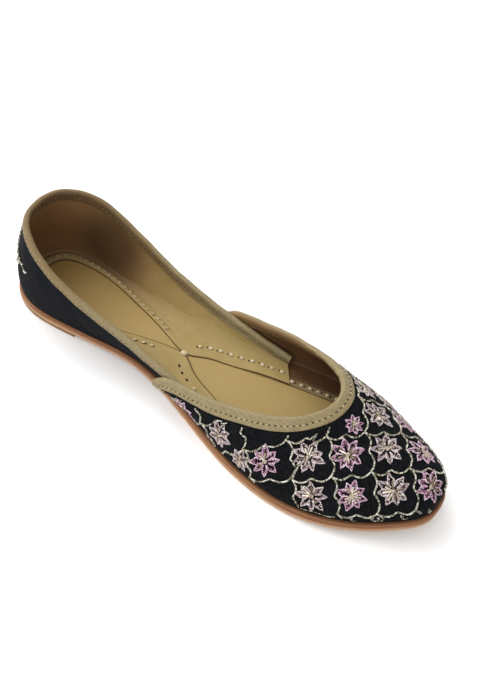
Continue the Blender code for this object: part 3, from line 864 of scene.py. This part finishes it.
def build_binding(name, skin, n, w_out, w_in, stitch, stitch_in, pitch, lift, thread, back_thread, hole, back, turn):
    """Leather strip folded over a rim and sewn through; turn: (feet, faces of the fold that the back's finish takes
    in); the back's finish is a darker colour for the inner faces, painted shade (on the throat partly the lining's own
    colour).
    """
    foots = np.linspace(-skin.span, skin.span, n)
    rim = Rim(skin, foots)
    rim_pts, _ = rim.point(0.0, 0.0)
    arc = np.r_[0, np.cumsum(np.linalg.norm(np.diff(rim_pts, axis=0), axis=1))]
    count = int(arc[-1] / pitch)
    phase = arc / arc[-1] * count

    def puff(s, w):
        """Thickness of the folded strip over the wall: rounded at its edge, pulled down at the stitches."""
        e = np.clip((w - s) / 0.8, 0, 1)
        rise = lift * (0.55 + 0.45 * np.sqrt(1 - (1 - e) ** 2))
        row = stitch if w == w_out else stitch_in
        sink = 0.26 * np.exp(-((s - row) / 0.55) ** 2) * (0.55 + 0.45 * np.cos(2 * np.pi * phase))
        crown = 0.10 * np.sin(np.pi * np.clip(s / w, 0, 1))
        wave = 0.05 * np.sin(arc * 0.33 + s) + 0.04 * np.sin(arc * 0.9 + 2 * s)
        return rise - sink + crown + wave

    ring = []
    for s in list(np.linspace(w_out, w_out - 0.8, 4)) + list(np.linspace(w_out - 1.3, 0.15, 13)):
        p, nrm = rim.point(s + 0.10 * np.sin(arc * 0.21) * (s / w_out), 0.0)
        ring.append(p + puff(s, w_out)[:, None] * nrm)
    p, nrm = rim.point(0.0, 0.0)
    below, _ = rim.point(0.6, 0.0)
    up = unit(p - below)
    mid = p - 0.5 * WALL * nrm
    radius = 0.5 * WALL + lift + 0.05
    for a in np.linspace(0.12, 0.88, 9) * np.pi:
        ring.append(mid + radius * (math.cos(a) * nrm + 0.85 * math.sin(a) * up))
    edge_in = len(ring)
    for s in list(np.linspace(0.15, w_in - 1.3, 8)) + list(np.linspace(w_in - 0.8, w_in, 4)):
        p, nrm = rim.point(s, -WALL)
        ring.append(p - puff(s, w_in)[:, None] * nrm)
    for s in (w_in - 0.1, w_in * 0.5, 0.4):
        p, nrm = rim.point(s, -WALL + 0.2)
        ring.append(p)
    for s in (0.4, w_out * 0.5, w_out - 0.1):
        p, nrm = rim.point(s, -0.2)
        ring.append(p)
    h = Heap()
    h.sweep(np.stack(ring, 1))
    loop = len(ring)
    face = np.arange((n - 1) * loop)
    start = edge_in - np.round(np.interp(foots[:-1], *turn)).astype(int)
    inside = face[(face % loop >= np.repeat(start, loop)) & (face % loop < edge_in + 15)]
    make(name, h, BINDING, sharp=60, more=[(back, inside)])

    # stitch row: sunk thread between dark needle holes
    outer, inner, holes = Heap(), Heap(), Heap()
    for face, down, sign, threads in ((0.0, stitch, 1.0, outer), (-WALL, stitch_in, -1.0, inner)):
        p, nrm = rim.point(np.full(n, down), face)
        p = p + sign * (lift - 0.05) * nrm
        nrm = sign * nrm
        for k in range(count - 1):
            c = k + 0.75
            here = np.array([np.interp(c, phase, p[:, i]) for i in range(3)])
            ahead = np.array([np.interp(c + 0.3, phase, p[:, i]) for i in range(3)])
            up_k = unit(np.array([np.interp(c, phase, nrm[:, i]) for i in range(3)]))
            threads.bead(here + 0.02 * up_k, ahead - here, up_k, pitch * 0.31, 0.29, 0.26, 6, 5)
            c = k + 1.25
            here = np.array([np.interp(c, phase, p[:, i]) for i in range(3)])
            up_k = unit(np.array([np.interp(c, phase, nrm[:, i]) for i in range(3)]))
            wide = hole * (1.0 if sign > 0 else 1.35)
            holes.bead(here + 0.04 * up_k, ahead - here, up_k, wide, 0.62 * wide, 0.16, 8, 4)
    make(name + "_stitches", outer, thread)
    make(name + "_back_stitches", inner, back_thread)
    make(name + "_needle_holes", holes, DARK_HOLE)


def top_of_insole(x):
    return seat(x) + GAP + INSOLE


def build_flanges():
    """Turned-in lining edges lying on the insole, with their stitches."""
    def strip(skin, rows, foots, n, height, base, fillet, ridge, crest=2.6, fade=(98, 86), upright=(132, 144)):
        full = [r._replace(foot=-r.foot, y=-r.y) for r in rows[:0:-1]] + list(rows)
        line = cubic([r.foot for r in full], [[r.x, r.y] for r in full])
        e = line(foots)
        ups = np.linspace(0, 0.9, 80)
        wall = skin.at(foots[:, None], ups[None], -WALL + 0.06)
        goal = np.minimum(top_of_insole(wall[:, 0, 0]) + base + height + fillet, wall[:, -1, 2] - 3.0)
        w = np.array([[np.interp(g, row[:, 2], row[:, i]) for i in range(2)] for g, row in zip(goal, wall)])
        # first column of faces, this wide, takes the dark edge finish: the rounded cut edge widened into a painted
        # shadow line along the gap to the insole
        lip = np.where(foots < 0, 0.75, 0.30 + 0.30 * smooth(95, 60, foots))
        first = (lip / np.linalg.norm(w - e, axis=1))[:, None]
        t = np.concatenate([0 * first, first + (1 - first) * np.linspace(0, 1, n)[None]], 1)[..., None]
        plan = e[:, None] * (1 - t) + w[:, None] * t
        far = np.linalg.norm(plan - w[:, None], axis=2)
        r = np.maximum(fillet, 0.05)[:, None]
        curve = np.where(far < r, r - np.sqrt(np.maximum(r * r - (r - np.minimum(far, r)) ** 2, 0)), 0)
        near = np.linalg.norm(plan - e[:, None], axis=2)
        edge_fall = np.where(foots < 0, 0.18, 0.35)[:, None] * np.exp(-near / 0.3)
        lump = 0.10 * np.sin(0.22 * foots[:, None] + 0.5 * near) + 0.06 * np.sin(0.61 * foots[:, None] - 0.3 * near)
        lump = lump + (ridge * smooth(*fade, np.abs(foots)))[:, None] * (
            np.exp(-((near - crest) / (0.7 * crest)) ** 2) - 0.9 * np.exp(-((near - 2.25 * crest) / 0.6) ** 2))
        over = np.maximum(smooth(2.0, 6.5, near), smooth(128, 140, np.abs(foots))[:, None])
        z0 = top_of_insole(plan[..., 0]) + base[:, None] * over
        # where the wall leans out the strip runs up into it without a corner
        inward = unit(e - w)
        flat = z0[:, -1] + height
        tall = np.maximum(goal - flat, 0.3)
        foot_of = np.array([np.interp(flat[k], wall[k, :, 2], (wall[k, :, :2] - w[k]) @ inward[k])
                            for k in range(len(foots))]).clip(0, None)
        run = np.hypot(foot_of, tall)
        bend = np.maximum(run - foot_of, 0.05)[:, None]
        t = ((np.sqrt(foot_of[:, None] ** 2 + bend * far.clip(0, None)) - foot_of[:, None]) / bend).clip(0, 1)
        mix = smooth(*upright, np.abs(foots))[:, None]
        curve = mix * curve + (1 - mix) * tall[:, None] * (1 - t) ** 2
        top = np.concatenate([plan, (z0 + height + curve - edge_fall + lump * smooth(0, 2.4, near))[..., None]], 2)
        low = np.concatenate([plan, (z0 + 0.04 + curve)[..., None]], 2)
        return top, low

    def edge_and_shadow_faces(top, shaded_groove=None):
        """Faces for the dark edge finish: the strip's first column of faces, its rounded cut edge widened into a
        painted shadow line, and the wall below it; along a given stretch also a line of faces in the groove, painted
        shade.
        """
        m, n = top.shape[:2]
        wall = 2 * (m - 1) * (n - 1)
        dark = np.zeros((m - 1, n - 1), bool)
        dark[:, 0] = True
        if shaded_groove is not None:
            near = np.linalg.norm(top[:, :, :2] - top[:, :1, :2], axis=2)
            mid = 0.25 * (near[:-1, :-1] + near[1:, :-1] + near[:-1, 1:] + near[1:, 1:])
            # faces in the groove 5.9 mm out go dark: painted shade
            dark |= (np.abs(mid - 5.9) < 0.30) & shaded_groove[:-1, None]
        return np.r_[np.flatnonzero(dark), wall + np.arange(m - 1)]

    foots = np.linspace(-quarter.span, quarter.span, 300)
    base = 0.7 * smooth(112, 128, np.abs(foots))
    fillet = 1.0 + 8.4 * smooth(35, 90, np.abs(foots)) - 7.2 * smooth(125, 155, np.abs(foots))
    top, low = strip(quarter, QUARTER_FLANGE, foots, 36, 0.8, base, fillet, 0.55)
    h = Heap()
    h.shell(top, low)
    # stretch where the groove beside the rand is painted dark as shade
    groove_shade = (foots > -28) & (foots < 58)
    near = np.linalg.norm(top[:, :, :2] - top[:, :1, :2], axis=2)
    beyond = np.flatnonzero((0.5 * (near[:-1, :-1] + near[1:, 1:]) > 5.9) & (np.abs(foots[:-1, None]) < 112))
    make("quarter_flange", h, FLANGE_LEATHER, sharp=50,
         more=[(LINING, beyond), (CUT_EDGE_AND_SHADOW, edge_and_shadow_faces(top, groove_shade))])
    foots_v = np.linspace(-124, 124, 220)
    top_v, low_v = strip(vamp, VAMP_FLANGE, foots_v, 28, 0.65, 0 * foots_v, 0.8 + 0 * foots_v, 0.35, crest=2.0, fade=(400, 390), upright=(-2, -1))
    h = Heap()
    h.shell(top_v, low_v)
    near = np.linalg.norm(top_v[:, :, :2] - top_v[:, :1, :2], axis=2)
    turned = np.flatnonzero(0.5 * (near[:-1, :-1] + near[1:, 1:]) < 4.6)
    make("vamp_flange", h, VAMP_LINING, sharp=50,
         more=[(VAMP_FLANGE_LEATHER, turned), (CUT_EDGE_AND_SHADOW, edge_and_shadow_faces(top_v))])

    dots, dark_marks, rand = Heap(), Heap(), Heap()

    def row(grid, feet, start, stop, pitch, offset, dark=False, size=1.0, jitter=0, into=dots):
        """Stitches along a flange, a given distance outside its inner edge."""
        pick = np.array([np.interp(offset, np.r_[0, np.cumsum(np.linalg.norm(np.diff(g, axis=0), axis=1))], np.arange(len(g)))
                         for g in grid])
        pos = np.array([[np.interp(a, np.arange(len(g)), g[:, i]) for i in range(3)] for a, g in zip(pick, grid)])
        keep = (feet >= min(start, stop)) & (feet <= max(start, stop))
        pos = pos[keep]
        s = np.r_[0, np.cumsum(np.linalg.norm(np.diff(pos, axis=0), axis=1))]
        up = np.array([0, 0, 1.0])
        for k, a in enumerate(np.arange(0.5 * pitch, s[-1], pitch)):
            a = a + 0.25 * math.sin(5.1 * k + jitter)
            c = np.array([np.interp(a, s, pos[:, i]) for i in range(3)])
            d = np.array([np.interp(a + 1.0, s, pos[:, i]) for i in range(3)]) - np.array([np.interp(a - 1.0, s, pos[:, i]) for i in range(3)])
            turn = 0.18 * math.sin(3.7 * k + jitter)
            d = np.array([d[0] * math.cos(turn) - d[1] * math.sin(turn), d[0] * math.sin(turn) + d[1] * math.cos(turn), d[2]])
            along = unit(d)
            if dark:
                dark_marks.bead(c + np.array([0, 0, 0.05]), along, up, 1.25 * size, 0.85 * size, 0.28, 10, 5)
            else:
                into.bead(c + np.array([0, 0, 0.22]), along, up, 1.12 * size, 0.86 * size, 0.72 * size, 10, 7)
                # a small dark mark beside each cream dot
                if into is dots:
                    dark_marks.bead(c - 1.5 * size * along + np.array([0, 0, 0.03]), along, up, 0.62 * size, 0.52 * size, 0.2, 8, 5)

    row(top, foots, -50, 92, 4.0, 2.9, size=0.84, into=rand)
    row(top, foots, -93, -54, 4.6, 5.6, size=0.9, jitter=6)
    row(top, foots, 106, 155, 5.4, 6.2, size=1.1, jitter=1)
    row(top, foots, -150, -122, 5.4, 6.2, size=1.05, jitter=2)
    row(top, foots, -121, -106, 4.6, 6.0, dark=True, size=0.8, jitter=3)
    row(top_v, foots_v, 52, 118, 4.7, 2.2, size=1.0, jitter=4)
    row(top_v, foots_v, -118, -52, 4.7, 2.2, size=1.0, jitter=5)
    z = float(top_of_insole(101.2)) + 0.8
    dots.bead(np.array([101.3, -0.2, z]), np.array([1, 0.25, 0]), np.array([0, 0, 1.0]), 2.0, 1.55, 1.05, 12, 8)
    make("flange_stitches", dots, CREAM)
    make("rand_stitches", rand, RAND_THREAD)
    make("flange_dark_marks", dark_marks, DARK_HOLE)


# ------------------------------------------------------------------ embroidery
PITCH_ALONG, PITCH_ROUND = 12.5, 12.9     # half diagonals of the lattice, mm
ORIGIN, AXIS = 215.5, -3.2                # a flower on the lattice's middle line, and that line's y
PULL = 0.0032                             # how the cloth was drawn back down the flanks
# Flowers worked off their place in the lattice to clear the throat or the sole: step and size
MOVED = {(-2, 0): ((6.9, -1.0), 0.62), (-4, -4): ((2.5, 6.2), 0.76), (-5, -3): ((-1.0, 0.8), 0.84),
         (-5, 3): ((-3.5, 6.0), 0.80), (-7, 3): ((0.5, 5.0), 0.72),
         (0, 4): ((0.0, -9.5), 0.80), (1, 3): ((-0.5, -5.5), 0.80), (2, 2): ((-2.0, -4.5), 0.78)}


class Flat:
    """The vamp's cloth laid flat: (along, round) in mm to a place on the lasted shoe."""

    def __init__(self):
        feet = np.linspace(-vamp.span, vamp.span, 491)
        ups = np.linspace(1, 0, 121)
        p = vamp.at(feet[:, None], ups[None])
        px = np.maximum.accumulate(p[:, :, 0], axis=1) + 1e-6 * np.arange(121)[None]
        self.xs = np.arange(103.0, 244.0, 0.5)
        self.gs = np.arange(-84, 84.01, 0.6)
        self.foot = np.full((len(self.xs), len(self.gs)), np.nan)
        self.up = self.foot.copy()
        for k, x in enumerate(self.xs):
            ok = (px[:, 0] <= x) & (px[:, -1] >= x)
            if ok.sum() < 3:
                continue
            u = np.array([np.interp(x, px[i], ups) for i in np.where(ok)[0]])
            f = feet[ok]
            q = vamp.at(f, u)
            if x >= 186.2:
                s = np.r_[0, np.cumsum(np.linalg.norm(np.diff(q, axis=0), axis=1))]
                g = s - np.interp(AXIS, q[:, 1], s)
                self.foot[k] = np.interp(self.gs, g, f, left=np.nan, right=np.nan)
                self.up[k] = np.interp(self.gs, g, u, left=np.nan, right=np.nan)
            else:
                for side in (-1, 1):
                    m = f * side > 0
                    if m.sum() < 3:
                        continue
                    order = np.argsort(np.abs(f[m]))
                    fs, us, qs = f[m][order], u[m][order], q[m][order]
                    s = np.r_[0, np.cumsum(np.linalg.norm(np.diff(qs, axis=0), axis=1))]
                    g = 1.03 * abs(qs[0, 1] - AXIS) + s
                    a = np.interp(self.gs * side, g, fs, left=np.nan, right=np.nan)
                    b = np.interp(self.gs * side, g, us, left=np.nan, right=np.nan)
                    good = ~np.isnan(a)
                    self.foot[k][good], self.up[k][good] = a[good], b[good]
        ridge = vamp.at(np.zeros(160), np.linspace(1, 0, 160))
        self.ridge_s = 186.0 + np.r_[0, np.cumsum(np.linalg.norm(np.diff(ridge, axis=0), axis=1))]
        self.ridge_x = np.maximum.accumulate(ridge[:, 0])
        self.rim = Rim(vamp, feet)
        self.feet = feet

    def place(self, along, round_):
        """Foot and up of flat points; not a number where the cloth has been cut away."""
        a, b = np.asarray(along, float), np.asarray(round_, float)
        x = np.where(a > 186, np.interp(a, self.ridge_s, self.ridge_x), a) - PULL * b * b
        i = (x - self.xs[0]) / 0.5
        j = (b - self.gs[0]) / 0.6
        i0 = np.clip(np.floor(i).astype(int), 0, len(self.xs) - 2)
        j0 = np.clip(np.floor(j).astype(int), 0, len(self.gs) - 2)
        fi, fj = np.clip(i - i0, 0, 1), np.clip(j - j0, 0, 1)
        bad = (i < 0) | (i > len(self.xs) - 1) | (j < 0) | (j > len(self.gs) - 1)

        def mix(t):
            return ((t[i0, j0] * (1 - fj) + t[i0, j0 + 1] * fj) * (1 - fi)
                    + (t[i0 + 1, j0] * (1 - fj) + t[i0 + 1, j0 + 1] * fj) * fi)
        f, u = mix(self.foot), mix(self.up)
        return np.where(bad, np.nan, f), np.where(bad, np.nan, u)

    def from_rim(self, f, u):
        """Rough distance below the throat's edge."""
        near = vamp.base(f, u) - vamp.base(f, np.ones_like(u))
        return np.linalg.norm(near, axis=-1)


def bracket(p, q, out, steps=26):
    """Two-lobed brace between two lattice points, bulging to the out side."""
    t = np.linspace(0, 1, steps)
    d = q - p
    n = np.array([-d[1], d[0]]) / np.hypot(*d)
    if n @ out < 0:
        n = -n
    lobe = 2.15 * np.abs(np.sin(2 * np.pi * t)) ** 0.72
    slide = 0.35 * np.sin(4 * np.pi * t)
    return p + t[:, None] * d + lobe[:, None] * n + slide[:, None] * d / np.hypot(*d)


def runs(good, least=4):
    """Unbroken stretches of a mask."""
    out, start = [], None
    for k, g in enumerate(list(good) + [False]):
        if g and start is None:
            start = k
        if not g and start is not None:
            if k - start >= least:
                out.append((start, k))
            start = None
    return out


def petal_threads(angle, scale, rng):
    """Threads of one petal in flat mm about the flower's centre: (points, radius, height, which)."""
    c, s = math.cos(angle), math.sin(angle)
    turn = lambda r, w: np.stack([r * c - w * s, r * s + w * c], 1)
    wide = 1.64 * scale * (1 + rng.normal(0, 0.08))
    lean = rng.normal(0, 0.4) * scale
    r0, r1 = 1.0 * scale, 7.2 * scale * (1 + rng.normal(0, 0.06))
    beaded = rng.random() < 0.6
    slit = (0.86 if beaded else rng.uniform(0.35, 0.70)) * scale

    def half(t):
        """Half width along the petal, kept inside its eighth of the flower."""
        t = np.clip(t, 0, 1)
        w = wide * np.where(t < 0.46, 0.40 + 0.60 * np.sin(np.pi / 2 * t / 0.46), 1 - ((t - 0.46) / 0.54) ** 1.25)
        return np.minimum(w, 0.40 * (r0 + (r1 - r0) * t) + 0.04)

    def gap(t):
        return slit * np.clip(1 - (t / 0.68) ** 3, 0, 1) + 0.04

    def at(t, w):
        return turn(r0 + (r1 - r0) * t, w + lean * t * t)

    # outline, up one side and down the other
    t = np.r_[np.linspace(0.12, 1, 12), np.linspace(1, 0.12, 12)[1:]]
    side = np.r_[np.ones(12), -np.ones(11)]
    out = [(at(t, side * half(t) + rng.normal(0, 0.13 * scale, 23)), 0.255, 0.38, "floss")]
    # fishbone stitches from the slit to the outline, a few of them missing, some over the outline
    for t0 in np.arange(0.14, 0.90, 0.068):
        for hand in (-1, 1):
            a = t0 + rng.normal(0, 0.012) + 0.017 * hand
            b = min(a + 0.075, 1.0)
            lo, hi = float(gap(a)), float(half(b)) * rng.uniform(0.80, 1.22)
            if rng.random() < 0.24 or hi - lo < 0.15:
                continue
            w = hand * np.array([lo, 0.5 * (lo + hi), hi])
            out.append((at(np.array([a, 0.5 * (a + b), b]), w), 0.195, 0.40, "inner" if rng.random() < 0.72 else "floss"))
    # tube bead lying in the slit
    if beaded:
        bead = np.linspace(0.9, rng.uniform(3.6, 4.4), 4) * scale
        out.append((turn(bead, np.full(4, rng.normal(0, 0.1))), 0.41, 0.52, "bead" if rng.random() < 0.4 else "dull"))
    return out


def build_vamp_embroidery():
    flat = Flat()
    rng = np.random.default_rng(11)
    node = lambda i, j: np.array([ORIGIN + PITCH_ALONG * i, PITCH_ROUND * j])
    shift = {}

    def corner(i, j):
        if (i, j) not in shift:
            shift[(i, j)] = rng.normal(0, 0.45, 2)
        return node(i, j) + shift[(i, j)]

    cords, bugles, dull, hearts = Heap(), Heap(), Heap(), Heap()
    hues = {True: (Heap(), Heap()), False: (Heap(), Heap())}

    def inside(f, u, margin):
        return (u > 0.04) & (u < 1) & (flat.from_rim(f, u) > margin) & (np.abs(f) < vamp.span - 1.0)

    def cloth(pts, margin):
        f, u = flat.place(pts[:, 0], pts[:, 1])
        good = ~np.isnan(f)
        f, u = np.where(good, f, 0.0), np.where(good, u, 0.5)
        return f, u, good & inside(f, u, margin)

    def spread(here, pts):
        """Foot and up of points laid out about a place on the cloth without stretching them."""
        f, u = flat.place(*here)
        a, b = (np.array([flat.place(*(here + s * d)) for s in (-1.5, 1.5)]) for d in (np.array([1, 0]), np.array([0, 1])))
        if np.isnan(f) or np.isnan(a).any() or np.isnan(b).any():
            return None
        c, n = vamp.base(f, u), vamp.normal(f, u)
        along, across = (vamp.base(*e[1]) - vamp.base(*e[0]) for e in (a, b))
        along = unit(along - (along @ n) * n)
        side = np.cross(n, along)
        side = side if side @ across > 0 else -side
        axes = np.stack([along, side], 1)
        f, u = np.full(len(pts), float(f)), np.full(len(pts), float(u))
        for _ in range(8):
            miss = pts - (vamp.base(f, u) - c) @ axes
            df = (vamp.base(f + 0.1, u) - vamp.base(f - 0.1, u)) @ axes / 0.2
            du = (vamp.base(f, u + 0.005) - vamp.base(f, u - 0.005)) @ axes / 0.01
            det = df[:, 0] * du[:, 1] - du[:, 0] * df[:, 1]
            det = np.where(np.abs(det) < 1.0, 1.0, det)
            f = f + np.clip((du[:, 1] * miss[:, 0] - du[:, 0] * miss[:, 1]) / det, -5, 5)
            u = np.clip(u + np.clip((df[:, 0] * miss[:, 1] - df[:, 1] * miss[:, 0]) / det, -0.2, 0.2), -0.3, 1.2)
        near = np.linalg.norm(pts - (vamp.base(f, u) - c) @ axes, axis=1) < 0.3
        return f, u, near

    def room(here, size):
        """Share of a flower's area that lies on open cloth."""
        place = spread(here, np.concatenate([r * size * ring for r in (2.0, 4.5, 6.6)]))
        return 0.0 if place is None else (place[2] & inside(place[0], place[1], 5.8)).mean()

    def lay(heap, pts, radius, height, sides, margin, twist=0.0, ply=0.0, least=4, flatten=1.0, fine=None):
        if fine is not None:
            s = np.r_[0, np.cumsum(np.hypot(*np.diff(pts, axis=0).T))]
            q = np.linspace(0, s[-1], max(4, int(s[-1] / fine)))
            pts = np.stack([np.interp(q, s, pts[:, 0]), np.interp(q, s, pts[:, 1])], 1)
        f, u, good = cloth(pts, margin)
        for a, b in runs(good, least):
            n = vamp.normal(f[a:b], u[a:b])
            p = vamp.at(f[a:b], u[a:b], height)
            heap.tube(p, n, radius, sides, twist, ply, flatten)

    def flower(here, size, turn, is_pink):
        floss, inner = hues[is_pink]
        into = {"floss": floss, "inner": inner, "bead": bugles, "dull": dull}
        threads = []
        for k in range(8):
            ang = turn + k * math.pi / 4 + rng.normal(0, 0.06)
            threads += petal_threads(ang, size * (1 + rng.normal(0, 0.04)), rng)
        place = spread(here, np.concatenate([np.zeros((1, 2))] + [t[0] for t in threads]))
        if place is None:
            return
        f, u, good = place
        good = good & inside(f, u, 6.0)
        n, p = vamp.normal(f, u), vamp.at(f, u)
        fat = min(1.0, 0.35 + 0.65 * size)
        first = 1
        for pts, radius, height, which in threads:
            k = slice(first, first + len(pts))
            first += len(pts)
            for a, b in runs(good[k], 3):
                into[which].tube(p[k][a:b] + height * n[k][a:b], n[k][a:b], radius * fat, 5, flat=0.85)
        # heart: a few short stitches worked across each other
        a, t = unit(p[1] - p[0]), np.linspace(-1, 1, 7)[:, None]
        b = np.cross(n[0], a)
        for k in range(5):
            way = turn + k * math.pi / 5 + rng.normal(0, 0.12)
            path = p[0] + 1.05 * size * t * (math.cos(way) * a + math.sin(way) * b) + (0.34 + (0.16 + 0.06 * k) * (1 - t * t)) * fat * n[0]
            hearts.tube(path, np.repeat(n[:1], 7, 0), 0.25 * fat, 5)

    ring = np.linspace(0, 2 * np.pi, 40)
    ring = np.stack([np.cos(ring), np.sin(ring)], 1)
    for i in range(-10, 4):
        for j in range(-6, 7):
            if (i + j) % 2:
                continue
            here = corner(i, j)
            for side in (-1, 1):
                p, q = corner(i, j + side), corner(i + 1, j)
                lay(cords, bracket(p, q, (p + q) / 2 - here), 0.41, 0.36, 6, 6.4, twist=2.6, ply=0.22, least=6, fine=0.5)
            turn = rng.normal(0, 0.16) + math.pi / 8 * (0.2 if (i % 3) else 0.6)
            size = 1.0 + rng.normal(0, 0.03)
            if (i, j) in MOVED:
                step, size = MOVED[(i, j)]
                here = node(i, j) + np.array(step)
            if room(here, size) > 0.80 or (i, j) in MOVED:
                flower(here, size, turn, (i + j) % 4 == 2)

    # ends of the work along the sole: a carried thread and a few frayed loops of cord
    f = np.linspace(-66, -50, 40)
    u = 0.075 + 0.012 * np.sin(0.5 * f)
    cords.tube(vamp.at(f, u, 0.2), vamp.normal(f, u), 0.17, 5)
    for foot, up, size in ((-43, 0.085, 1.1), (-34, 0.105, 1.5), (-31, 0.09, 0.9), (-21, 0.10, 1.2), (-9, 0.09, 1.0), (26, 0.10, 1.2)):
        a = np.linspace(0, 5.6, 26)
        f, u = foot + size * (0.8 * np.cos(a) + 0.3 * a), up + 0.035 * size * np.sin(a)
        cords.tube(vamp.at(f, u, 0.3 + 0.05 * np.sin(2 * a)), vamp.normal(f, u), 0.22, 5)
    make("zari_lattice", cords, ZARI)
    for is_pink, hue, outer, inner in ((True, "pink", PINK, PINK_IN), (False, "pale", PALE, PALE_IN)):
        make(hue + "_flowers", hues[is_pink][0], outer)
        make(hue + "_flower_fill", hues[is_pink][1], inner)
    make("flower_beads", bugles, BUGLE)
    make("flower_beads_dull", dull, BUGLE_DULL)
    make("flower_hearts", hearts, HEART)


def build_heel_embroidery():
    """Narrow strip of the same work down the heel's back."""
    foots = np.linspace(-40, 40, 161)
    rim = Rim(quarter, foots)
    rng = np.random.default_rng(5)
    cords, bugles, dull = Heap(), Heap(), Heap()
    pink, pale = (Heap(), Heap()), (Heap(), Heap())

    def lay(heap, pts, radius, height, sides, twist=0.0, ply=0.0, flatten=1.0, fine=None):
        if fine is not None:
            s = np.r_[0, np.cumsum(np.hypot(*np.diff(pts, axis=0).T))]
            q = np.linspace(0, s[-1], max(4, int(s[-1] / fine)))
            pts = np.stack([np.interp(q, s, pts[:, 0]), np.interp(q, s, pts[:, 1])], 1)
        down, rnd = pts[:, 0], pts[:, 1]
        f = rnd
        u = np.array([np.interp(d, [np.interp(q, foots, rim.down[:, k]) for k in range(0, 120, 7)], rim.ups[::7]) for d, q in zip(down, f)])
        good = (down > 5.2) & (u > 0.24)
        for a, b in runs(good, 3):
            heap.tube(quarter.at(f[a:b], u[a:b], height), quarter.normal(f[a:b], u[a:b]), radius, sides, twist, ply, flatten)

    # cells of the strip: how far down, how far round, which of the two lower brackets, and the flower's hue
    step, reach, both = 12.2, 12.0, (-1, 1)
    cells = [(10.0, 0.0, both, pink), (10.0 + step, reach, both, pale), (10.0 + step, -reach, both, pale),
             (10.0 + 2 * step, 0.0, both, pink)]
    for side in both:
        cells += [(10.0 - step, side * reach, (-side,), None), (10.0, side * 2 * reach, (-side,), None)]
    for down, rnd, sides, hue in cells:
        here = np.array([down, rnd])
        for side in sides:
            p, q = here + np.array([0, side * reach]), here + np.array([step, 0])
            lay(cords, bracket(p, q, (p + q) / 2 - here), 0.45, 0.38, 6, 2.6, 0.22, fine=0.5)
        if hue is None:
            continue
        turn = rng.normal(0, 0.2)
        for k in range(8):
            for pts, radius, height, which in petal_threads(turn + k * math.pi / 4, 0.90 * (1 + rng.normal(0, 0.04)), rng):
                into = {"floss": hue[0], "inner": hue[1], "bead": bugles, "dull": dull}[which]
                lay(into, here + pts, radius, height, 5, flatten=0.85)
    # where the strip ends at its sides the cord runs out in short wavy tails
    for side in both:
        for down, rnd, long in ((10.0, reach, 4.0), (10.0 + step, 2 * reach, 9.0)):
            t = np.linspace(0, 1, 30)
            tail = np.stack([down + 0.7 * np.sin(2 * np.pi * t * long / 5.5) - 0.4 * t, side * (rnd + long * t)], 1)
            lay(cords, tail, 0.45, 0.38, 6, 2.6, 0.22, fine=0.5)
    make("heel_zari", cords, ZARI)
    for hue, heaps, outer, inner in (("pink", pink, PINK, PINK_IN), ("pale", pale, PALE, PALE_IN)):
        make("heel_" + hue + "_flowers", heaps[0], outer)
        make("heel_" + hue + "_flower_fill", heaps[1], inner)
    make("heel_flower_beads", bugles, BUGLE)
    make("heel_flower_beads_dull", dull, BUGLE_DULL)


# ------------------------------------------------------------------ stage
def build_stage():
    mesh = bpy.data.meshes.new("floor")
    mesh.from_pydata([(-40, -40, 0), (40, -40, 0), (40, 40, 0), (-40, 40, 0)], [], [(0, 1, 2, 3)])
    floor = bpy.data.objects.new("floor", mesh)
    bpy.context.scene.collection.objects.link(floor)
    f = Finish("floor_white", (0.94, 0.94, 0.94), 0.75)
    f.put("Specular IOR Level", 0.15)
    f.put("Emission Color", (1, 1, 1, 1)).put("Emission Strength", 0.08)
    mesh.materials.append(f.mat)

    world = bpy.data.worlds.new("studio")
    world.use_nodes = True
    back = world.node_tree.nodes["Background"]
    back.inputs["Color"].default_value = (1, 1, 1, 1)
    sky = world.node_tree.nodes.new("ShaderNodeTexCoord")
    split = world.node_tree.nodes.new("ShaderNodeSeparateXYZ")
    grade = world.node_tree.nodes.new("ShaderNodeMapRange")
    for key, value in (("From Min", -1.0), ("From Max", 1.0), ("To Min", 1.5), ("To Max", 0.3)):
        grade.inputs[key].default_value = value
    world.node_tree.links.new(sky.outputs["Generated"], split.inputs[0])
    world.node_tree.links.new(split.outputs[0], grade.inputs["Value"])
    world.node_tree.links.new(grade.outputs["Result"], back.inputs["Strength"])
    bpy.context.scene.world = world

    def lamp(name, place, aim, size, power):
        data = bpy.data.lights.new(name, "AREA")
        data.shape = "DISK"
        data.size, data.energy = size, power
        obj = bpy.data.objects.new(name, data)
        bpy.context.scene.collection.objects.link(obj)
        obj.location = place
        d = np.asarray(aim, float) - np.asarray(place, float)
        obj.rotation_euler = (math.atan2(math.hypot(d[0], d[1]), -d[2]), 0, math.atan2(d[1], d[0]) - math.pi / 2)
        return obj
    lamp("key", (-0.8, 0.1, 1.2), (0, 0, 0.02), 1.2, 12)
    lamp("fill", (0.25, -1.2, 0.9), (0, -0.05, 0.02), 1.3, 6)

    cam_data = bpy.data.cameras.new("camera")
    cam = bpy.data.objects.new("camera", cam_data)
    bpy.context.scene.collection.objects.link(cam)
    cam.location = (0.1633, -0.2711, 0.3985)
    cam.rotation_euler = [math.radians(a) for a in (40.92, -5.29, 35.83)]
    cam_data.sensor_width = 36.0
    cam_data.lens = 54.33
    bpy.context.scene.camera = cam
    bpy.context.scene.view_settings.view_transform = "Standard"


build_sole()
build_insole()
build_walls()
build_flanges()
build_binding("throat_binding", vamp, 420, 5.2, 5.0, 2.7, 2.7, 2.6, 0.62, STRAW_THREAD, UMBER_THREAD, 0.66, THROAT_IN, ([45, 90], [0, 5]))
build_binding("topline_binding", quarter, 460, 3.1, 5.5, 1.8, 2.9, 2.6, 0.50, KHAKI_THREAD, OLIVE_THREAD, 0.40, BINDING_IN,
              ([-45, -15, 70, 140], [-1, 4, 4, 2]))
build_vamp_embroidery()
build_heel_embroidery()
build_stage()
